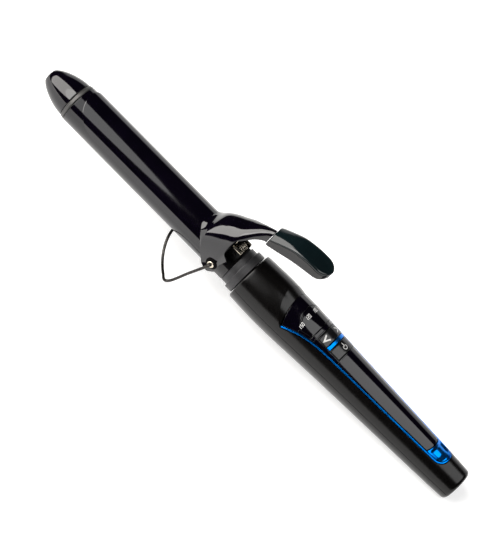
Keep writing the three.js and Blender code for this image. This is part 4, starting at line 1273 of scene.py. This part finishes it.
def add_floor():
    size = FLOOR_REACH
    corners = [(-size, -size, 0), (size, -size, 0), (size, size, 0), (-size, size, 0)]
    data = bpy.data.meshes.new("floor")
    data.from_pydata(corners, [], [(0, 1, 2, 3)])
    floor = linked("floor", data)
    floor.location.z = -0.0002
    material = new_material("floor_white", (0.8, 0.8, 0.8), 0.9, specular=0.1)
    shader_input(material, "Emission Color").default_value = (1, 1, 1, 1)
    shader_input(material, "Emission Strength").default_value = FLOOR_GLOW
    tint(material, (4, 3), (0.79, 0.79, 0.79), (0.82, 0.82, 0.82))
    data.materials.append(material)


def add_softbox(name, aim, direction, distance, size, radiance, shape="ELLIPSE", color=(1, 1, 1)):
    """Area light seen from aim along direction; size is (along the iron, across it), in metres."""
    data = bpy.data.lights.new(name, "AREA")
    data.shape = shape
    data.size, data.size_y = size
    area = size[0] * size[1] * (pi / 4 if shape == "ELLIPSE" else 1)
    data.energy = radiance * pi * area
    data.color = color
    back = direction.normalized()
    x_axis = (LONG - back * LONG.dot(back)).normalized()
    light = place_object(name, data, (x_axis, back.cross(x_axis), back), aim + back * distance)
    light.visible_camera = False


def around(angle, along=0.0):
    """Direction at an angle round the iron from the camera, positive over the clamp side."""
    return (TOWARDS * cos(angle * DEG) + OVER * sin(angle * DEG)) + LONG * along


def add_lights():
    centre = row_point(VIEW_X, 0, 0)
    add_softbox("key_softbox", centre + LONG * 0.56, around(6), 1.2, (0.78, 1.34), 1.95)
    add_softbox("top_softbox", centre - LONG * 0.44, around(43), 1.2, (0.74, 1.5), 2.6)
    add_softbox("tip_softbox", centre + LONG * 0.16, around(6, 0.93), 1.4, (1.75, 1.5), 5.6,
                shape="RECTANGLE", color=(1, 0.975, 0.94))


def add_world():
    """Studio surround: a white sweep low behind the iron, dim elsewhere, plain pale to the eye."""
    world = bpy.data.worlds.new("studio")
    bpy.context.scene.world = world
    world.use_nodes = True
    tree = world.node_tree
    tree.nodes.clear()
    node, link = tree.nodes.new, tree.links.new

    def fade(source, start, end):
        return ranged(tree, source, (start, end), 0.0, 1.0, "SMOOTHSTEP")

    def combine(operation, *sources):
        step = node("ShaderNodeMath")
        step.operation = operation
        for source, socket in zip(sources, step.inputs):
            link(source, socket)
        return step.outputs[0]

    split = node("ShaderNodeSeparateXYZ")
    link(node("ShaderNodeTexCoord").outputs["Generated"], split.inputs[0])
    low, behind = fade(split.outputs["Z"], *SWEEP_HEIGHT), fade(split.outputs["Y"], *SWEEP_DEPTH)
    central = fade(combine("ABSOLUTE", split.outputs["X"]), *SWEEP_HALF_WIDTH)
    sweep_share = combine("MULTIPLY", combine("MULTIPLY", low, behind), central)
    lit = node("ShaderNodeBackground")
    seen = node_with(tree, "ShaderNodeBackground", {"Color": (0.93, 0.93, 0.93, 1)})
    link(ranged(tree, sweep_share, (0.0, 1.0), *SWEEP_STRENGTH), lit.inputs["Strength"])
    choose = node("ShaderNodeMixShader")
    link(node("ShaderNodeLightPath").outputs["Is Camera Ray"], choose.inputs["Fac"])
    link(lit.outputs[0], choose.inputs[1])
    link(seen.outputs[0], choose.inputs[2])
    link(choose.outputs[0], node("ShaderNodeOutputWorld").inputs["Surface"])


bpy.context.scene.view_settings.view_transform = "Standard"
add_camera()
add_world()
add_lights()
add_floor()

add_barrel()
add_tip_ring()
add_tip_cap()
add_neck()
add_collar()
add_spring_bracket()
add_clamp_spring()
add_clamp_plate()
add_clamp_lever()
add_thumb_base()
add_thumb_pad()
add_pivots()
add_stand()
add_upper()
add_lower()
add_control_panel()
add_window()
add_tail_inlay()
add_trim_rail()
add_keys()
add_numbers()
add_swivel()
dress_inner()
